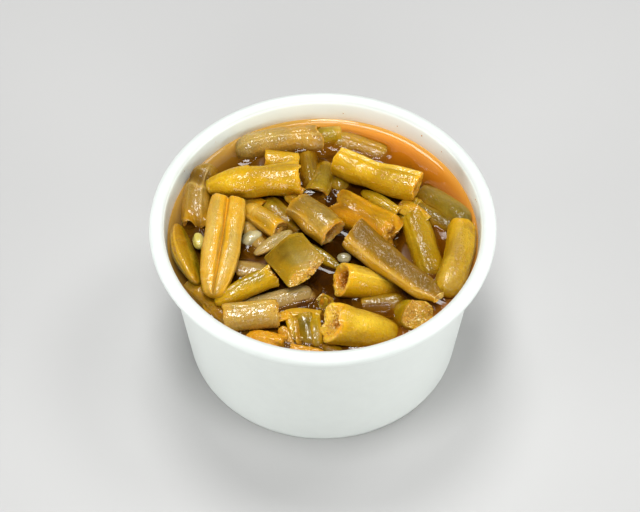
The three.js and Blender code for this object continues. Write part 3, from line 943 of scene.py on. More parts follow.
def finish_tree(tree, geometry, material, result):
    smooth = add_node(tree, "GeometryNodeSetShadeSmooth", {"Geometry": geometry}).outputs[0]
    real = add_node(tree, "GeometryNodeRealizeInstances", {"Geometry": smooth}).outputs[0]
    painted = add_node(tree, "GeometryNodeSetMaterial", {"Geometry": real, "Material": material}).outputs[0]
    tree.links.new(painted, result["Geometry"])


def field(tree, name, kind):
    made = add_node(tree, "GeometryNodeInputNamedAttribute", {"Name": name}, data_type=kind)
    return made.outputs["Attribute"]


def position(tree):
    return add_node(tree, "GeometryNodeInputPosition").outputs[0]


def seeded_noise(tree, vector, scale, seed, detail):
    inputs = {"Vector": vector, "W": seed, "Scale": scale, "Detail": detail}
    fac = add_node(tree, "ShaderNodeTexNoise", inputs, noise_dimensions="4D").outputs[0]
    return calculate(tree, "SUBTRACT", fac, 0.5)


def random_vector(tree, low, high, seed):
    inputs = {0: low, 1: high, "Seed": seed}
    return add_node(tree, "FunctionNodeRandomValue", inputs, data_type="FLOAT_VECTOR").outputs[0]


def even_vector(tree, value):
    return add_node(tree, "ShaderNodeCombineXYZ", {axis: value for axis in "XYZ"}).outputs[0]


def pod_skin_tree():
    """Wrinkles along and across a cooked pod, soft dents, and the rough flesh of its open ends."""
    sizes = ["Dents", "Wrinkles", "Creases", "Flesh", "Seed"]
    inputs = [(title, "NodeSocketFloat") for title in sizes] + [("Skin", "NodeSocketMaterial")]
    tree, given, result = geometry_tree("pod skin", inputs)
    place = field(tree, "place", "FLOAT_VECTOR")
    skin = calculate(tree, "SUBTRACT", 1.0, field(tree, "flesh", "FLOAT"))
    ragged = field(tree, "ragged", "FLOAT")
    seed = given["Seed"]
    dents = seeded_noise(tree, stretch(tree, place, (0.5, 1, 1)), 220, seed, detail=1)
    wrinkles = seeded_noise(tree, stretch(tree, place, (0.12, 1, 1)), 700, seed, detail=2)
    creases = seeded_noise(tree, stretch(tree, place, (1, 0.2, 0.2)), 1000, seed, detail=2)
    patches = ramp(tree, seeded_noise(tree, place, 130, seed, detail=1), -0.05, 0.2)
    rough = seeded_noise(tree, place, 800, seed, detail=3)
    height = multiply(tree, dents, given["Dents"])
    parts = [(wrinkles, skin, "Wrinkles"), (creases, patches, "Creases"), (rough, ragged, "Flesh")]
    for relief, where, size in parts:
        part = multiply(tree, relief, multiply(tree, where, given[size]))
        height = calculate(tree, "ADD", height, part)
    normal = add_node(tree, "GeometryNodeInputNormal").outputs[0]
    inputs = {"Geometry": given["Geometry"], "Offset": scaled_vector(tree, normal, height)}
    moved = add_node(tree, "GeometryNodeSetPosition", inputs).outputs[0]
    finish_tree(tree, moved, given["Skin"], result)
    return tree


def apply_tree(piece, tree, values):
    """Runs a node tree on a piece and keeps the result as its plain mesh."""
    modifier = piece.modifiers.new(tree.name, "NODES")
    modifier.node_group = tree
    for item in tree.interface.items_tree:
        if item.in_out == "INPUT" and item.name in values:
            modifier[item.identifier] = values[item.name]
    plan = bpy.context.evaluated_depsgraph_get()
    made = bpy.data.meshes.new_from_object(piece.evaluated_get(plan), depsgraph=plan)
    piece.modifiers.remove(modifier)
    old = piece.data
    piece.data = made
    bpy.data.meshes.remove(old)
    made.name = piece.name


pod_skin = pod_skin_tree()
SKIN_RELIEF = {"Dents": 0.75 * MM, "Wrinkles": 0.14 * MM, "Creases": 0.28 * MM, "Flesh": 1.2 * MM}


# What sets single pods apart

# Where a seam or a cleft runs, in radians from the top.
SEAMS = {"pod_gold_tube": -0.5, "pod_split": 1.9, "pod_strap": 1.2, "pod_torn_gold": 1.9}
CLEFTS = {"pod_split": 0.0}
RIDGES = {"pod_gold_tube": 3.5}  # how much higher a seam's ridge is than on other pods
SQUARE = {"pod_strap": 0.9, "pod_flat_fold": 0.2}
ROUNDED = {"pod_torn_gold": 2, "pod_hollow_gold": 2, "pod_right_wall": 2}  # pods with a plain oval section
TIP_POWERS = {"pod_split": 0.48, "pod_gold_tip": 0.6}  # how blunt a tip is, less being blunter
TONES = {"seed_left": 0.0, "seed_grey": 0.9, "seed_mid": 1.0}

# Which way a thin pod is flat, how much thinner it is, how far it is lifted and how far one side hangs down.
FLATS = {
    "pod_strap": (0.31, 0.3, 0, 0),
    "pod_flat_fold": (0.21, 0.78, 1 * MM, 0.3 * MM),
    "pod_back_right": (0, 0.3, 0, 0),
    "pod_grey_slim": (0, 0.45, 0, 0),
    "pod_front_curl": (0, 0.45, 0, 0),
}

# Narrow places along a pod: where, from 0 to 1, over what share of its length, and by how much.
WAISTS = {
    "pod_gold_tip": [(0.66, 0.12, 0.12), (1.0, 0.06, -0.1)],
    "pod_gold_tube": [(0.42, 0.14, 0.09), (0.95, 0.1, -0.05)],
    "pod_left_wall": [(0.3, 0.1, 0.1)],
    "pod_hollow_brown": [(0.1, 0.2, 0.1), (0.55, 0.2, -0.05)],
    "pod_back_left": [(0.72, 0.08, 0.1)],
    "pod_right_wall": [(0.45, 0.2, 0.06)],
    "pod_strap": [(1.0, 0.1, 0.4)],
}

# How much darker a pod is than others of its skin, from 0 to 1.
SHADES = {
    "pod_strap": 0.75, "pod_flat_fold": 0.3, "pod_dark_green": 0.25, "pod_left_wall": 0.25,
    "skin_flap": 0.25, "edge_strip": 0.3,
}
# How grey and faded a pod is, from 0 to 1; on some pods the grey stands for painted sheen.
GREY_AND_SHEEN = {
    "pod_grey_strip": 0.7, "pod_grey_slim": 0.6, "pod_under_left": 0.6, "pod_back_left": 0.25,
    "pod_front_left": 0.35, "tucked_long": 0.9, "tucked_grey": 0.4,
}
# How far a whole skin is frayed to loose flesh, from 0 to 1.
FRAYED = {
    "seed_mid": 0.3, "seed_grey": 0.4, "pod_front_orange": 0.7, "shred_front_low": 0.6,
    "shred_front_left": 0.5, "skin_flap": 0.35, "frayed_end": 0.9, "torn_tongue": 0.3,
}
# How far a pod's skin has turned to its second colour at its two ends, from 0 to 1.
TURNS = {
    "pod_back_left": (0.1, 0.75), "pod_gold_tip": (0.15, 0.2), "pod_gold_tube": (0.35, 0.3),
    "pod_olive_slim": (0.7, 0.4), "pod_flat_fold": (0.1, 0.1), "pod_green_gold": (0.2, 0.6),
}
# Where a pod's side shows its golden second colour, in radians from the top.
GOLD_SIDES = {"pod_strap": 1.4, "pod_left_amber": -1.2}

NEAR_BROTH_STRENGTH, NEAR_BROTH_RISE = 0.7, 3 * MM  # how much darker orange the skins are near the broth, and how high above its level
END_TURN_AND_SIDE_GLOW = 0.6  # second colour at open ends, and on the sides as painted glow
EDGE_SHADE = 0.55  # how dark undersides are painted, as painted shade

# Strokes of colour on single pods: layer, place along from 0 to 1 and its reach, angle from the top and its
# reach in radians, and strength. turn is the second colour; shade is dark, on lower sides painted shade; the
# grey layer is grey, near tops painted sheen; the pale layer is the light colour, near tops painted
# highlight.
ROUND = 99.0
PAINT = {
    "pod_back_left": [
        ("pale_and_sheen", 0.35, 0.28, 0, 0.35, 0.4), ("turn", 0.85, 0.12, 0, ROUND, 0.9),
        ("shade", 0.98, 0.06, 0, ROUND, 0.5), ("grey_and_sheen", 0.35, 0.3, -0.3, 0.7, 0.19),
    ],
    "pod_gold_tube": [
        ("grey_and_sheen", 0.5, 0.6, -0.75, 0.35, 0.2), ("pale_and_sheen", 0.5, 1, -0.3, 0.14, 0.5),
        ("shade", 0.5, 0.6, 1.2, 0.5, 0.3),
    ],
    "pod_gold_tip": [
        ("grey_and_sheen", 0.75, 0.2, -0.2, 0.5, 0.14), ("shade", 0.03, 0.1, 0, ROUND, 0.2),
        ("shade", 0.5, 0.5, 1.4, 0.5, 0.25),
    ],
    "pod_left_wall": [
        ("shade", 0.3, 0.1, 0, ROUND, 0.6), ("grey_and_sheen", 0.62, 0.17, 0, 0.8, 0.28),
        ("turn", 0.95, 0.1, 0, ROUND, 0.6), ("pale_and_sheen", 0.43, 0.02, 0, ROUND, 0.6),
    ],
    "pod_split": [
        ("turn", 0.5, 1.2, 0.42, 0.12, 1.1), ("turn", 0.3, 0.5, -0.42, 0.12, 1.0),
        ("turn", 0.05, 0.12, -0.7, 0.4, 1.1), ("shade", 0.8, 0.35, -0.06, 0.09, 0.7),
        ("grey_and_sheen", 0.45, 0.5, 0.9, 0.35, 0.19), ("grey_and_sheen", 0.6, 0.4, -0.85, 0.3, 0.22),
        ("pale_and_sheen", 0.45, 0.4, 0.75, 0.25, 0.4), ("pale_and_sheen", 0.5, 0.35, -0.75, 0.22, 0.45),
    ],
    "pod_hollow_brown": [("shade", 0.12, 0.2, 0, ROUND, 0.4), ("grey_and_sheen", 0.6, 0.2, -0.3, 0.5, 0.17)],
    "pod_orange_wide": [("shade", 0.04, 0.14, 0, ROUND, 0.5), ("turn", 0.6, 0.4, 0.8, 0.5, 0.5)],
    "pod_right_wall": [
        ("grey_and_sheen", 0.86, 0.14, 0, 0.9, 0.28), ("shade", 0.35, 0.3, 0, 1.2, 0.25),
        ("grey_and_sheen", 0.4, 0.4, 0.2, 0.5, 0.19),
    ],
    "pod_green_gold": [
        ("turn", 0.15, 0.25, 0, ROUND, 0.9), ("shade", 0.5, ROUND, 0.1, 0.6, 0.45),
        ("shade", 0.75, 0.25, -1, 0.5, 0.3),
    ],
    "pod_front_left": [
        ("turn", 0.04, 0.08, 0, ROUND, 0.9), ("turn", 0.95, 0.1, 0, ROUND, 0.9),
        ("shade", 0.5, 0.5, 1.1, 0.5, 0.3),
    ],
    "pod_torn_gold": [
        ("pale_and_sheen", 0.35, 0.3, 0.15, 0.5, 0.6), ("shade", 0.85, 0.25, 1, 0.6, 0.4),
        ("grey_and_sheen", 0.4, 0.4, -0.6, 0.4, 0.19),
    ],
    "pod_hollow_gold": [
        ("pale_and_sheen", 0.3, 0.3, 0.15, 0.5, 0.55), ("grey_and_sheen", 0.3, 0.25, -0.2, 0.5, 0.25),
        ("shade", 0.85, 0.2, 0.6, 1, 0.45),
    ],
    "pod_dark_green": [("grey_and_sheen", 0.4, 0.4, -0.3, 0.4, 0.17), ("pale_and_sheen", 0.45, 0.4, -0.6, 0.3, 0.4)],
    "pod_left_amber": [
        ("pale_and_sheen", 0.5, 0.6, 0.5, 0.06, 0.8), ("pale_and_sheen", 0.5, 0.5, 0.8, 0.05, 0.6),
        ("pale_and_sheen", 0.5, 0.5, 0.2, 0.05, 0.5),
    ],
    "pod_back_right": [("pale_and_sheen", 0.5, ROUND, 0, ROUND, 0.3)],
    "pod_flat_fold": [
        ("grey_and_sheen", 0.8, 0.35, -0.4, 0.9, 0.35), ("shade", 0.15, 0.3, 0.5, 1.2, 0.4),
        ("shade", 0.45, 0.07, 0.6, 0.8, 0.3), ("turn", 0.95, 0.12, 0, ROUND, 0.6),
    ],
    "pod_green_back": [("pale_and_sheen", 0.5, 0.4, -0.2, 0.4, 0.3)],
    "pod_front_orange": [("turn", 0.5, ROUND, 0, ROUND, 0.6), ("shade", 0.3, 0.4, 0.5, 1, 0.3)],
    "pod_front_curl": [("pale_and_sheen", 0.5, ROUND, 0, ROUND, 0.8)],
}

# Colours of each skin: deep, middle, light, and the second colour that it turns to.
SKINS = {
    "skin_gold": [(150, 106, 2), (200, 155, 4), (232, 194, 60), (204, 152, 2)],
    "skin_amber": [(122, 78, 1), (176, 124, 4), (216, 168, 40), (128, 106, 6)],
    "skin_orange": [(124, 80, 1), (178, 128, 4), (220, 170, 40), (198, 132, 2)],
    "skin_brown": [(104, 78, 14), (158, 122, 34), (204, 170, 86), (190, 136, 3)],
    "skin_pale": [(128, 98, 22), (180, 143, 50), (222, 188, 96), (208, 152, 4)],
    "skin_olive": [(104, 84, 3), (150, 124, 10), (192, 164, 50), (190, 146, 3)],
    "skin_green": [(74, 63, 5), (120, 101, 14), (168, 142, 50), (162, 127, 4)],
}
FLESHES = {"skin_olive": dict(flesh=(208, 168, 76), inside=(150, 100, 14))}

# Beans, shreds and flaps in the gaps: name, ends in millimetres, width, what the ends are like, and skin.
# Some also say how flat they are, their roll in radians and the lift of their middle in millimetres.
TUCKED = [
    ("tucked_back", (-4.4, 36.5, 44), (5, 38, 43.4), 7.2, "torn cut", "olive", ()),
    ("tucked_green", (6, 26, 42.8), (4.2, 15.6, 43.4), 6.8, "cut closed", "green", ()),
    ("tucked_middle", (-4.7, 31, 42.6), (-2.6, 18, 43), 6.2, "cut closed", "green", ()),
    ("tucked_side", (-25.5, 15, 43.6), (-17.5, 9.6, 44.2), 6.5, "closed torn", "brown", ()),
    ("tucked_grey", (-23.2, 5.8, 42.6), (-16, -6, 42.6), 7, "closed closed", "pale", ()),
    ("tucked_gap", (22.5, 4.5, 43.2), (27.5, 12, 43.8), 6, "closed torn", "olive", ()),
    ("tucked_right", (11, -24, 42.4), (23, -22.6, 42.6), 6.4, "cut closed", "green", ()),
    ("tucked_long", (-22, -26.6, 44.4), (-2.6, -20.2, 44.4), 6.4, "torn closed", "pale", (0.6, 0.3)),
    ("tucked_dark", (-5.4, -29, 44.8), (-3, -38.5, 43.6), 5.6, "torn closed", "green", ()),
    ("tucked_amber", (-1.2, -28, 43), (-0.2, -40, 43), 4.6, "cut closed", "amber", ()),
    ("tucked_left", (-36.5, -17, 43), (-25.5, -30, 43.2), 7, "cut torn", "amber", ()),
    ("skin_flap", (22.4, 9.6, 46.6), (29, 3.6, 46.6), 5.4, "torn torn", "gold", (0.14, 0.3, 0.8)),
    ("front_strand", (-9.4, -29.5, 46.8), (-7.6, -37, 44.4), 2.4, "closed closed", "gold", (0.4, 0, 0.8)),
    ("torn_tongue", (-10.5, 14, 47.6), (-6.6, 10.6, 46.4), 4.4, "closed closed", "gold", (0.3, 0.6)),
    ("shred_front_left", (-11.5, -33, 46), (-8.4, -39.2, 43.8), 3, "closed closed", "orange", (0.4, 0.5)),
    ("shred_front", (-7.2, -29.5, 46), (-6.2, -38.4, 45), 2.8, "closed closed", "amber", (0.45, -0.5)),
    ("shred_front_mid", (-2.2, -29, 45.6), (-1.4, -39, 45), 3.2, "torn closed", "olive", (0.5, 0, 0.8)),
    ("shred_front_right", (0, -38.6, 45.3), (5.4, -41, 45), 3.4, "closed closed", "amber", (0.5,)),
    ("shred_front_low", (-8.5, -39.4, 45.1), (0.5, -41.6, 45.1), 3.2, "torn closed", "orange", (0.5,)),
    ("shred_middle", (-0.8, -22.4, 45), (4.6, -27.2, 44), 3.6, "torn closed", "brown", (0.55, 0.4)),
    ("edge_strip", (22.6, 12.6, 45.2), (36.8, 2.2, 45.4), 4.4, "closed closed", "green", (0.6, 0.3)),
    ("frayed_end", (-14, -31.5, 47.4), (-9.6, -29, 46.2), 4, "closed torn", "orange", (0.4, -0.4)),
]


def make_pods():
    materials = {}
    for slot, colours in SKINS.items():
        name = slot.replace("skin_", "bean skin ")
        materials[slot] = bean_skin(name, *colours, **FLESHES.get(slot, {}))
    materials["seed"] = seed_material()
    parts = frame["record"]["subparts"]
    pieces = []
    for seed, part in enumerate(parts):
        slot = part["material_slot"]
        if slot in materials:
            pieces.append(bean(Pod(part["node"], seed), seed, materials[slot], slot, part["node"]))
    for seed, (name, start, end, width, kinds, skin, form) in enumerate(TUCKED, len(parts)):
        tucked = TuckedBean(name, start, end, width, kinds.split(), seed, *form)
        slot = "skin_" + skin
        pieces.append(bean(tucked, seed, materials[slot], slot))
    return pieces


# Beans under the surface

SUNKEN_SEED = 11
SUNKEN_TRIES = 5000
SUNKEN_LAYERS = [(-0.8 * MM, 0.8 * MM), (1.5 * MM, 4 * MM)]  # how deep the top of a bean may lie
SUNKEN_HALF = 3.2, 4.3  # least and greatest half width, in millimetres
SUNKEN_REACH = 6, 10.5  # least and greatest half length, in millimetres
SUNKEN_PITCH = 0.2
SUNKEN_SPREAD = 40
SUNKEN_BALLS = np.linspace(-1, 1, 7)  # along a bean, to test its room
SUNKEN_BEND = 0.5
SUNKEN_BLUNTNESS = -0.24
SUNKEN_PACKING = 0.9  # how close two beans may come, in the sum of their half widths
SUNKEN_WALL_GAP = 0.3 * MM
SUNKEN_CLEAR = 0.1  # share of a sunken bean's radius that stays clear of the pods above


def sunken_tree():
    """Plain blunt beans on points, each aimed and sized by its point."""
    inputs = [("Bend", "NodeSocketFloat"), ("Skin", "NodeSocketMaterial")]
    tree, given, result = geometry_tree("sunken beans", inputs)
    ball = {"Segments": 28, "Rings": 26, "Radius": 1.0}
    ball = add_node(tree, "GeometryNodeMeshUVSphere", ball).outputs["Mesh"]
    axes = add_node(tree, "ShaderNodeSeparateXYZ", {0: position(tree)}).outputs
    squares = [multiply(tree, axes[side], axes[side]) for side in ("X", "Y", "Z")]
    round_share = calculate(tree, "ADD", calculate(tree, "ADD", squares[0], squares[1]), 0.0001)
    blunt = calculate(tree, "POWER", round_share, SUNKEN_BLUNTNESS)
    bend = multiply(tree, squares[2], given["Bend"])
    aside = calculate(tree, "ADD", multiply(tree, axes["X"], blunt), bend)
    place = {"X": aside, "Y": multiply(tree, axes["Y"], blunt), "Z": axes["Z"]}
    place = add_node(tree, "ShaderNodeCombineXYZ", place).outputs[0]
    shaped = add_node(tree, "GeometryNodeSetPosition", {"Geometry": ball, "Position": place}).outputs[0]
    aim = field(tree, "aim", "FLOAT_VECTOR")
    rotation = add_node(tree, "FunctionNodeAlignRotationToVector", {"Vector": aim}, axis="Z").outputs[0]
    inputs = {"Points": given["Geometry"], "Instance": shaped, "Rotation": rotation}
    inputs["Scale"] = field(tree, "size", "FLOAT_VECTOR")
    beans = add_node(tree, "GeometryNodeInstanceOnPoints", inputs).outputs[0]
    finish_tree(tree, beans, given["Skin"], result)
    return tree


def draw_sunken(random, low, high):
    """A bean drawn at random in the broth: balls along it, half width, direction and size."""
    half = random.uniform(*SUNKEN_HALF) * MM
    half_length = random.uniform(*SUNKEN_REACH) * MM
    heading, pitch = random.uniform(0, math.pi), random.uniform(-SUNKEN_PITCH, SUNKEN_PITCH)
    spot = random.uniform(-SUNKEN_SPREAD, SUNKEN_SPREAD, 2) * MM
    level = math.cos(pitch)
    aim = np.array((math.cos(heading) * level, math.sin(heading) * level, math.sin(pitch)))
    top = BROTH_LEVEL - random.uniform(low, high)
    centre = np.array((*spot, top - half - abs(aim[2]) * half_length))
    balls = centre + SUNKEN_BALLS[:, None] * (half_length - half) * aim
    return balls, half, aim, (half, half, half_length)


def has_room(balls, half, laid, above):
    """Whether a bean keeps clear of the wall, of the beans already laid and of the pods above."""
    limit = np.array([cup.inside(z) for z in balls[:, 2]]) - half - SUNKEN_WALL_GAP
    if (np.hypot(balls[:, 0], balls[:, 1]) > limit).any():
        return False
    for other, other_half, _, _ in laid:
        if np.linalg.norm(balls[:, None] - other, axis=2).min() < SUNKEN_PACKING * (half + other_half):
            return False
    near = [above.find_nearest(Vector(ball)) for ball in balls]
    inside = [(Vector(ball) - hit[0]).dot(hit[1]) < 0 for ball, hit in zip(balls, near)]
    return not any(inside) and min(hit[3] for hit in near) >= SUNKEN_CLEAR * half


def make_sunken(above):
    """Fills the broth's gaps with beans that keep clear of the pods above and of each other."""
    random = np.random.default_rng(SUNKEN_SEED)
    laid = []
    for low, high in SUNKEN_LAYERS:
        for _ in range(SUNKEN_TRIES):
            drawn = draw_sunken(random, low, high)
            if has_room(drawn[0], drawn[1], laid, above):
                laid.append(drawn)
    centres = [tuple(balls.mean(0)) for balls, _, _, _ in laid]
    attributes = {"aim": np.array([row[2] for row in laid]), "size": np.array([row[3] for row in laid])}
    attributes["tone"] = random.uniform(0, 1, len(laid))
    material = sunken_material()
    piece = mesh_object("sunken_beans", centres, [], material, attributes)
    apply_tree(piece, sunken_tree(), {"Bend": SUNKEN_BEND, "Skin": material})
    place_piece(piece, "skin_olive")
    return piece


# Crumbs of flesh and skin

CRUMB_SEED = 23
CRUMB_SHARE = 0.07  # of the points of ragged flesh that carry a crumb
CRUMB_RAGGED = 0.9  # how ragged flesh is where crumbs stick
CRUMB_DROP = 8 * MM  # crumbs fall onto the beans from this far above
CRUMB_SIZES = {"Smallest": 0.06 * MM, "Largest": 0.26 * MM}
# Where crumbs lie: a spot on the beans in millimetres, its reach and how many.
CRUMB_SPOTS = [
    (-13.5, -16.4, 1.8, 30), (-6.5, -18.6, 2, 40), (-2.5, -16.4, 1.6, 20),
    (21, -3, 2, 26), (-12, -29.5, 2, 26),
    (2, -33.5, 2.4, 24), (5, -19, 2.2, 20), (27, -31, 2.6, 16), (-1, 35.5, 2.4, 16), (0, 0, 36, 50),
]
# Specks splashed on the lining: degrees from +X, and height in millimetres.
WALL_SPECKS = [
    (49, 49.6), (38.5, 49.2), (10, 50.4), (11.5, 49.9), (154, 50), (135, 49.2), (60, 48.4), (82, 48),
]


def crumb_tree():
    inputs = [(title, "NodeSocketFloat") for title in CRUMB_SIZES] + [("Skin", "NodeSocketMaterial")]
    tree, given, result = geometry_tree("crumbs", inputs)
    ball = add_node(tree, "GeometryNodeMeshIcoSphere", {"Radius": 1.0, "Subdivisions": 2}).outputs["Mesh"]
    spot = position(tree)
    lumps = scaled_sum(tree, seeded_noise(tree, spot, 1.3, 0.0, detail=1), 1.6, 1.0)
    lumpy = {"Geometry": ball, "Position": scaled_vector(tree, spot, lumps)}
    crumb = add_node(tree, "GeometryNodeSetPosition", lumpy).outputs[0]
    smallest, largest = even_vector(tree, given["Smallest"]), even_vector(tree, given["Largest"])
    size = random_vector(tree, smallest, largest, seed=3)
    turn = random_vector(tree, (0, 0, 0), (6.3, 6.3, 6.3), seed=4)
    inputs = {"Points": given["Geometry"], "Instance": crumb, "Rotation": turn, "Scale": size}
    crumbs = add_node(tree, "GeometryNodeInstanceOnPoints", inputs).outputs[0]
    finish_tree(tree, crumbs, given["Skin"], result)
    return tree


def make_crumbs(beans, top):
    random = np.random.default_rng(CRUMB_SEED)
    points = []
    for piece in beans:
        ragged = np.zeros(len(piece.data.vertices))
        piece.data.attributes["ragged"].data.foreach_get("value", ragged)
        torn = [piece.data.vertices[i].co for i in np.nonzero(ragged > CRUMB_RAGGED)[0]]
        stuck = [point for point in torn if random.uniform() < CRUMB_SHARE]
        points += [tuple(point) for point in stuck if point.z > BROTH_LEVEL]
    drop_height = Vector((0, 0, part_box("cup_wall")[1].z + CRUMB_DROP))
    for x, y, spread, count in CRUMB_SPOTS:
        for dx, dy in random.normal(0, 0.5, (count, 2)) * spread:
            hit = top.ray_cast(Vector((x + dx, y + dy, 0)) * MM + drop_height, DOWN)[0]
            if hit is not None and hit.z > BROTH_LEVEL:
                points.append(tuple(hit))
    for degrees, height in WALL_SPECKS:
        out = cup.inside(height * MM)
        angle = math.radians(degrees)
        points.append((out * math.cos(angle), out * math.sin(angle), height * MM))
    material = crumb_material()
    piece = mesh_object("crumbs", points, [], material)
    apply_tree(piece, crumb_tree(), CRUMB_SIZES | {"Skin": material})
    place_piece(piece, "skin_gold")


# Cup

class Cup:
    """The cup's line, from its solid's box: rim, foot and the straight wall between them."""

    def __init__(self):
        low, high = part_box("cup_wall")
        points = np.array([vertex.co for vertex in frame["nodes"]["cup_wall"].data.vertices])
        foot = points[points[:, 2] < low.z + SOFT_EDGE]
        self.foot = np.hypot(foot[:, 0], foot[:, 1]).max() - BOARD / 2
        self.roll = (ROLL_DIAMETER - BOARD) / 2
        self.roll_centre = high.x - ROLL_DIAMETER / 2, high.z - ROLL_DIAMETER / 2
        self.top = self.roll_centre[0] - self.roll, self.roll_centre[1]
        self.slope = (self.top[0] - self.foot) / (self.top[1] - BOARD / 2)

    def wall(self, height):
        """Radius of the middle of the board."""
        return self.foot + (height - BOARD / 2) * self.slope

    def inside(self, height):
        return self.wall(height) - BOARD / 2


cup = Cup()


def board_outline(line):
    """Both sides of a board that follows a line of points, rounded over at its two edges."""
    line = np.array(line)
    ahead = unit(np.gradient(line, axis=0))
    aside = np.stack([-ahead[:, 1], ahead[:, 0]], 1) * BOARD / 2
    turns = np.linspace(-math.pi / 2, math.pi / 2, 5)[1:-1, None]
    last = line[-1] + np.cos(turns) * ahead[-1] * BOARD / 2 + np.sin(turns) * aside[-1]
    first = line[0] - np.cos(turns) * ahead[0] * BOARD / 2 - np.sin(turns) * aside[0]
    return np.concatenate([line - aside, last, (line + aside)[::-1], first])


def wall_line():
    """The middle of the board, from the hem's edge round the foot and up the wall to the end of the curl."""
    corner = cup.wall(BOARD / 2)
    hem = [(cup.wall(z) - HEM_INSET, z) for z in np.linspace(HEM_TOP, FOOT_BEND, HEM_ROWS)]
    fold = [(corner - inset, BOARD / 2) for inset in (HEM_INSET, HEM_INSET / 2, 0)]
    wall = [(cup.wall(z), z) for z in np.linspace(FOOT_BEND, cup.top[1] - WALL_END, WALL_ROWS)]
    x, z = cup.roll_centre
    turns = np.linspace(math.pi, CURL_END, CURL_STEPS)
    curl = [(x + cup.roll * math.cos(turn), z + cup.roll * math.sin(turn)) for turn in turns]
    return hem + fold + wall + curl


def spun(radius, height, angles):
    return np.stack([radius * np.cos(angles), radius * np.sin(angles), height], -1)


def make_cup(material):
    outline = board_outline(wall_line())
    angles = ring_angles(CUP_COLUMNS)
    radius = np.broadcast_to(outline[:, :1], (len(outline), CUP_COLUMNS)).copy()
    height = np.broadcast_to(outline[:, 1:], radius.shape)
    outer = (outline[:, 0] > cup.wall(outline[:, 1])) & (outline[:, 1] < cup.top[1] - SEAM_END)
    since_seam = (angles - SEAM_ANGLE) % (2 * math.pi)
    radius += outer[:, None] * SEAM_STEP * np.clip(1 - since_seam / SEAM_FADE, 0, 1)
    inner = np.abs(radius - cup.inside(height)) < INSIDE_LIMIT
    stain = inner * np.clip(1 - np.abs(height - BROTH_LEVEL) / STAIN_REACH, 0, 1) * STAIN
    # Painted light: the inside is painted brighter than the outside, and the rim gets a little of it.
    inside_painted_light = np.where(inner, 1.0, RIM_PAINTED_LIGHT * (height > cup.top[1] - RIM_DEPTH))
    points = rows_of_points(spun(radius, height, angles))
    faces = grid_faces(len(outline), CUP_COLUMNS, closed=True)
    attributes = {"stain": stain.ravel(), "inside_painted_light": inside_painted_light.ravel()}
    piece = mesh_object("paper_wall", points, faces, material, attributes)
    place_piece(piece, "cup_paper", "cup_wall")


def make_base(material):
    low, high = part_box("cup_base")
    foot, top = low.z, high.z
    under = top - BOARD
    edge = cup.inside(top) - BASE_GAP
    skirt = cup.inside(foot) - BASE_GAP
    inner_edge = edge - BOARD
    outline = [(r, under) for r in np.linspace(BASE_MIDDLE, inner_edge - BASE_BEND, BASE_ROWS)]
    outline += [(inner_edge - 0.2 * MM, under - 0.2 * MM), (inner_edge, under - BASE_BEND)]
    outline += [(skirt - BOARD, foot + SOFT_EDGE), (skirt - BOARD / 2, foot), (skirt, foot + SOFT_EDGE)]
    outline += [(edge, top - BASE_BEND), (edge - 0.25 * MM, top - 0.25 * MM), (edge - BASE_BEND, top)]
    outline += [(r, top) for r in np.linspace(edge - 2 * BASE_BEND, BASE_MIDDLE, BASE_ROWS)]
    outline = np.array(outline)
    radius = np.broadcast_to(outline[:, :1], (len(outline), CUP_COLUMNS))
    height = np.broadcast_to(outline[:, 1:], radius.shape)
    points = rows_of_points(spun(radius, height, ring_angles(CUP_COLUMNS))) + [(0, 0, under), (0, 0, top)]
    # The base's inside takes the same painted light.
    attributes = {"stain": np.zeros(len(points)), "inside_painted_light": np.ones(len(points))}
    piece = mesh_object("paper_base", points, loft_faces(len(outline), CUP_COLUMNS), material, attributes)
    place_piece(piece, "cup_paper", "cup_base")


# Broth

def broth_at(beans, spot, from_wall):
    """How far the broth rises at a spot, from 0 to 1, and how deep it is there."""
    touch, normal, _, gap = beans.find_nearest(spot)
    inside = (spot - touch).dot(normal) < 0
    rise = max(math.exp(-from_wall / MENISCUS_REACH), 1 if inside else math.exp(-gap / MENISCUS_REACH))
    hits = [beans.ray_cast(spot + Vector((0, 0, MM)), ray)[3] for ray in DEPTH_RAYS]
    depths = [DEEPEST if hit is None else min(max(hit - MM, 0), DEEPEST) for hit in hits]
    return rise, np.mean(depths)


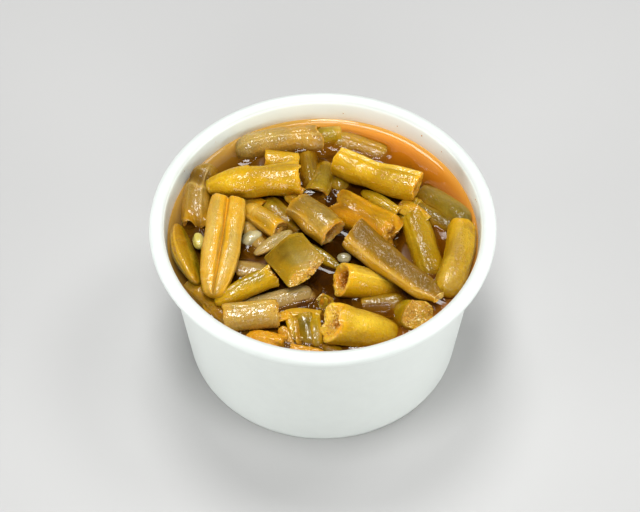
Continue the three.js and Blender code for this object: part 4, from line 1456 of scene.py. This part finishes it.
def make_broth(beans):
    """The broth's surface rises to every pod and to the wall, and knows how deep it is at each point."""
    tree = surface_of(beans)
    rim = cup.inside(BROTH_LEVEL) + WALL_OVERLAP
    angles = ring_angles(BROTH_COLUMNS)
    points, depth, glow, edge = [], [], [], []
    for share in np.linspace(0, 1, BROTH_RINGS + 1)[1:]:
        radius = rim * share
        from_wall = max(rim - radius, 0)
        for angle in angles:
            spot = Vector((radius * math.cos(angle), radius * math.sin(angle), BROTH_LEVEL))
            rise, deep = broth_at(tree, spot, from_wall)
            # Painted light: the glow and the pale edge are strong at the back, where the wall is lit, and
            # weak at the front.
            facing = GLOW_FRONT + (1 - GLOW_FRONT) * (0.5 + 0.5 * spot.y / rim) ** 3
            points.append((spot.x, spot.y, BROTH_LEVEL + MENISCUS_RISE * rise))
            depth.append(deep)
            glow.append(math.exp(-from_wall / GLOW_REACH) * facing)
            edge.append(EDGE_PALENESS * math.exp(-from_wall / EDGE_REACH) * facing)
    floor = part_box("broth")[0].z
    for z in np.linspace(BROTH_LEVEL, floor, BROTH_SIDE_ROWS + 1)[1:]:
        radius = cup.inside(z) - SIDE_GAP
        points += [(radius * math.cos(angle), radius * math.sin(angle), z) for angle in angles]
    surface_pole = len(points)
    points += [(0, 0, BROTH_LEVEL), (0, 0, floor)]
    hidden = len(points) - len(depth)
    attributes = {"depth": depth + [DEEPEST] * hidden}
    attributes |= {"glow": glow + [0.0] * hidden, "edge": edge + [0.0] * hidden}
    attributes["depth"][surface_pole] = depth[0]
    across = np.array(points)[:, 0]
    attributes["orange"] = np.clip((across - ORANGE_FROM) / (ORANGE_TO - ORANGE_FROM), 0, 1)
    faces = [face[::-1] for face in loft_faces(BROTH_RINGS + BROTH_SIDE_ROWS, BROTH_COLUMNS)]
    piece = mesh_object("broth_pool", points, faces, broth_material(), attributes)
    place_piece(piece, "broth", "broth")


make_studio()
paper = paper_material()
make_cup(paper)
make_base(paper)
beans = make_pods()
upper = surface_of(beans)
make_crumbs(beans, upper)
beans.append(make_sunken(upper))
make_broth(beans)
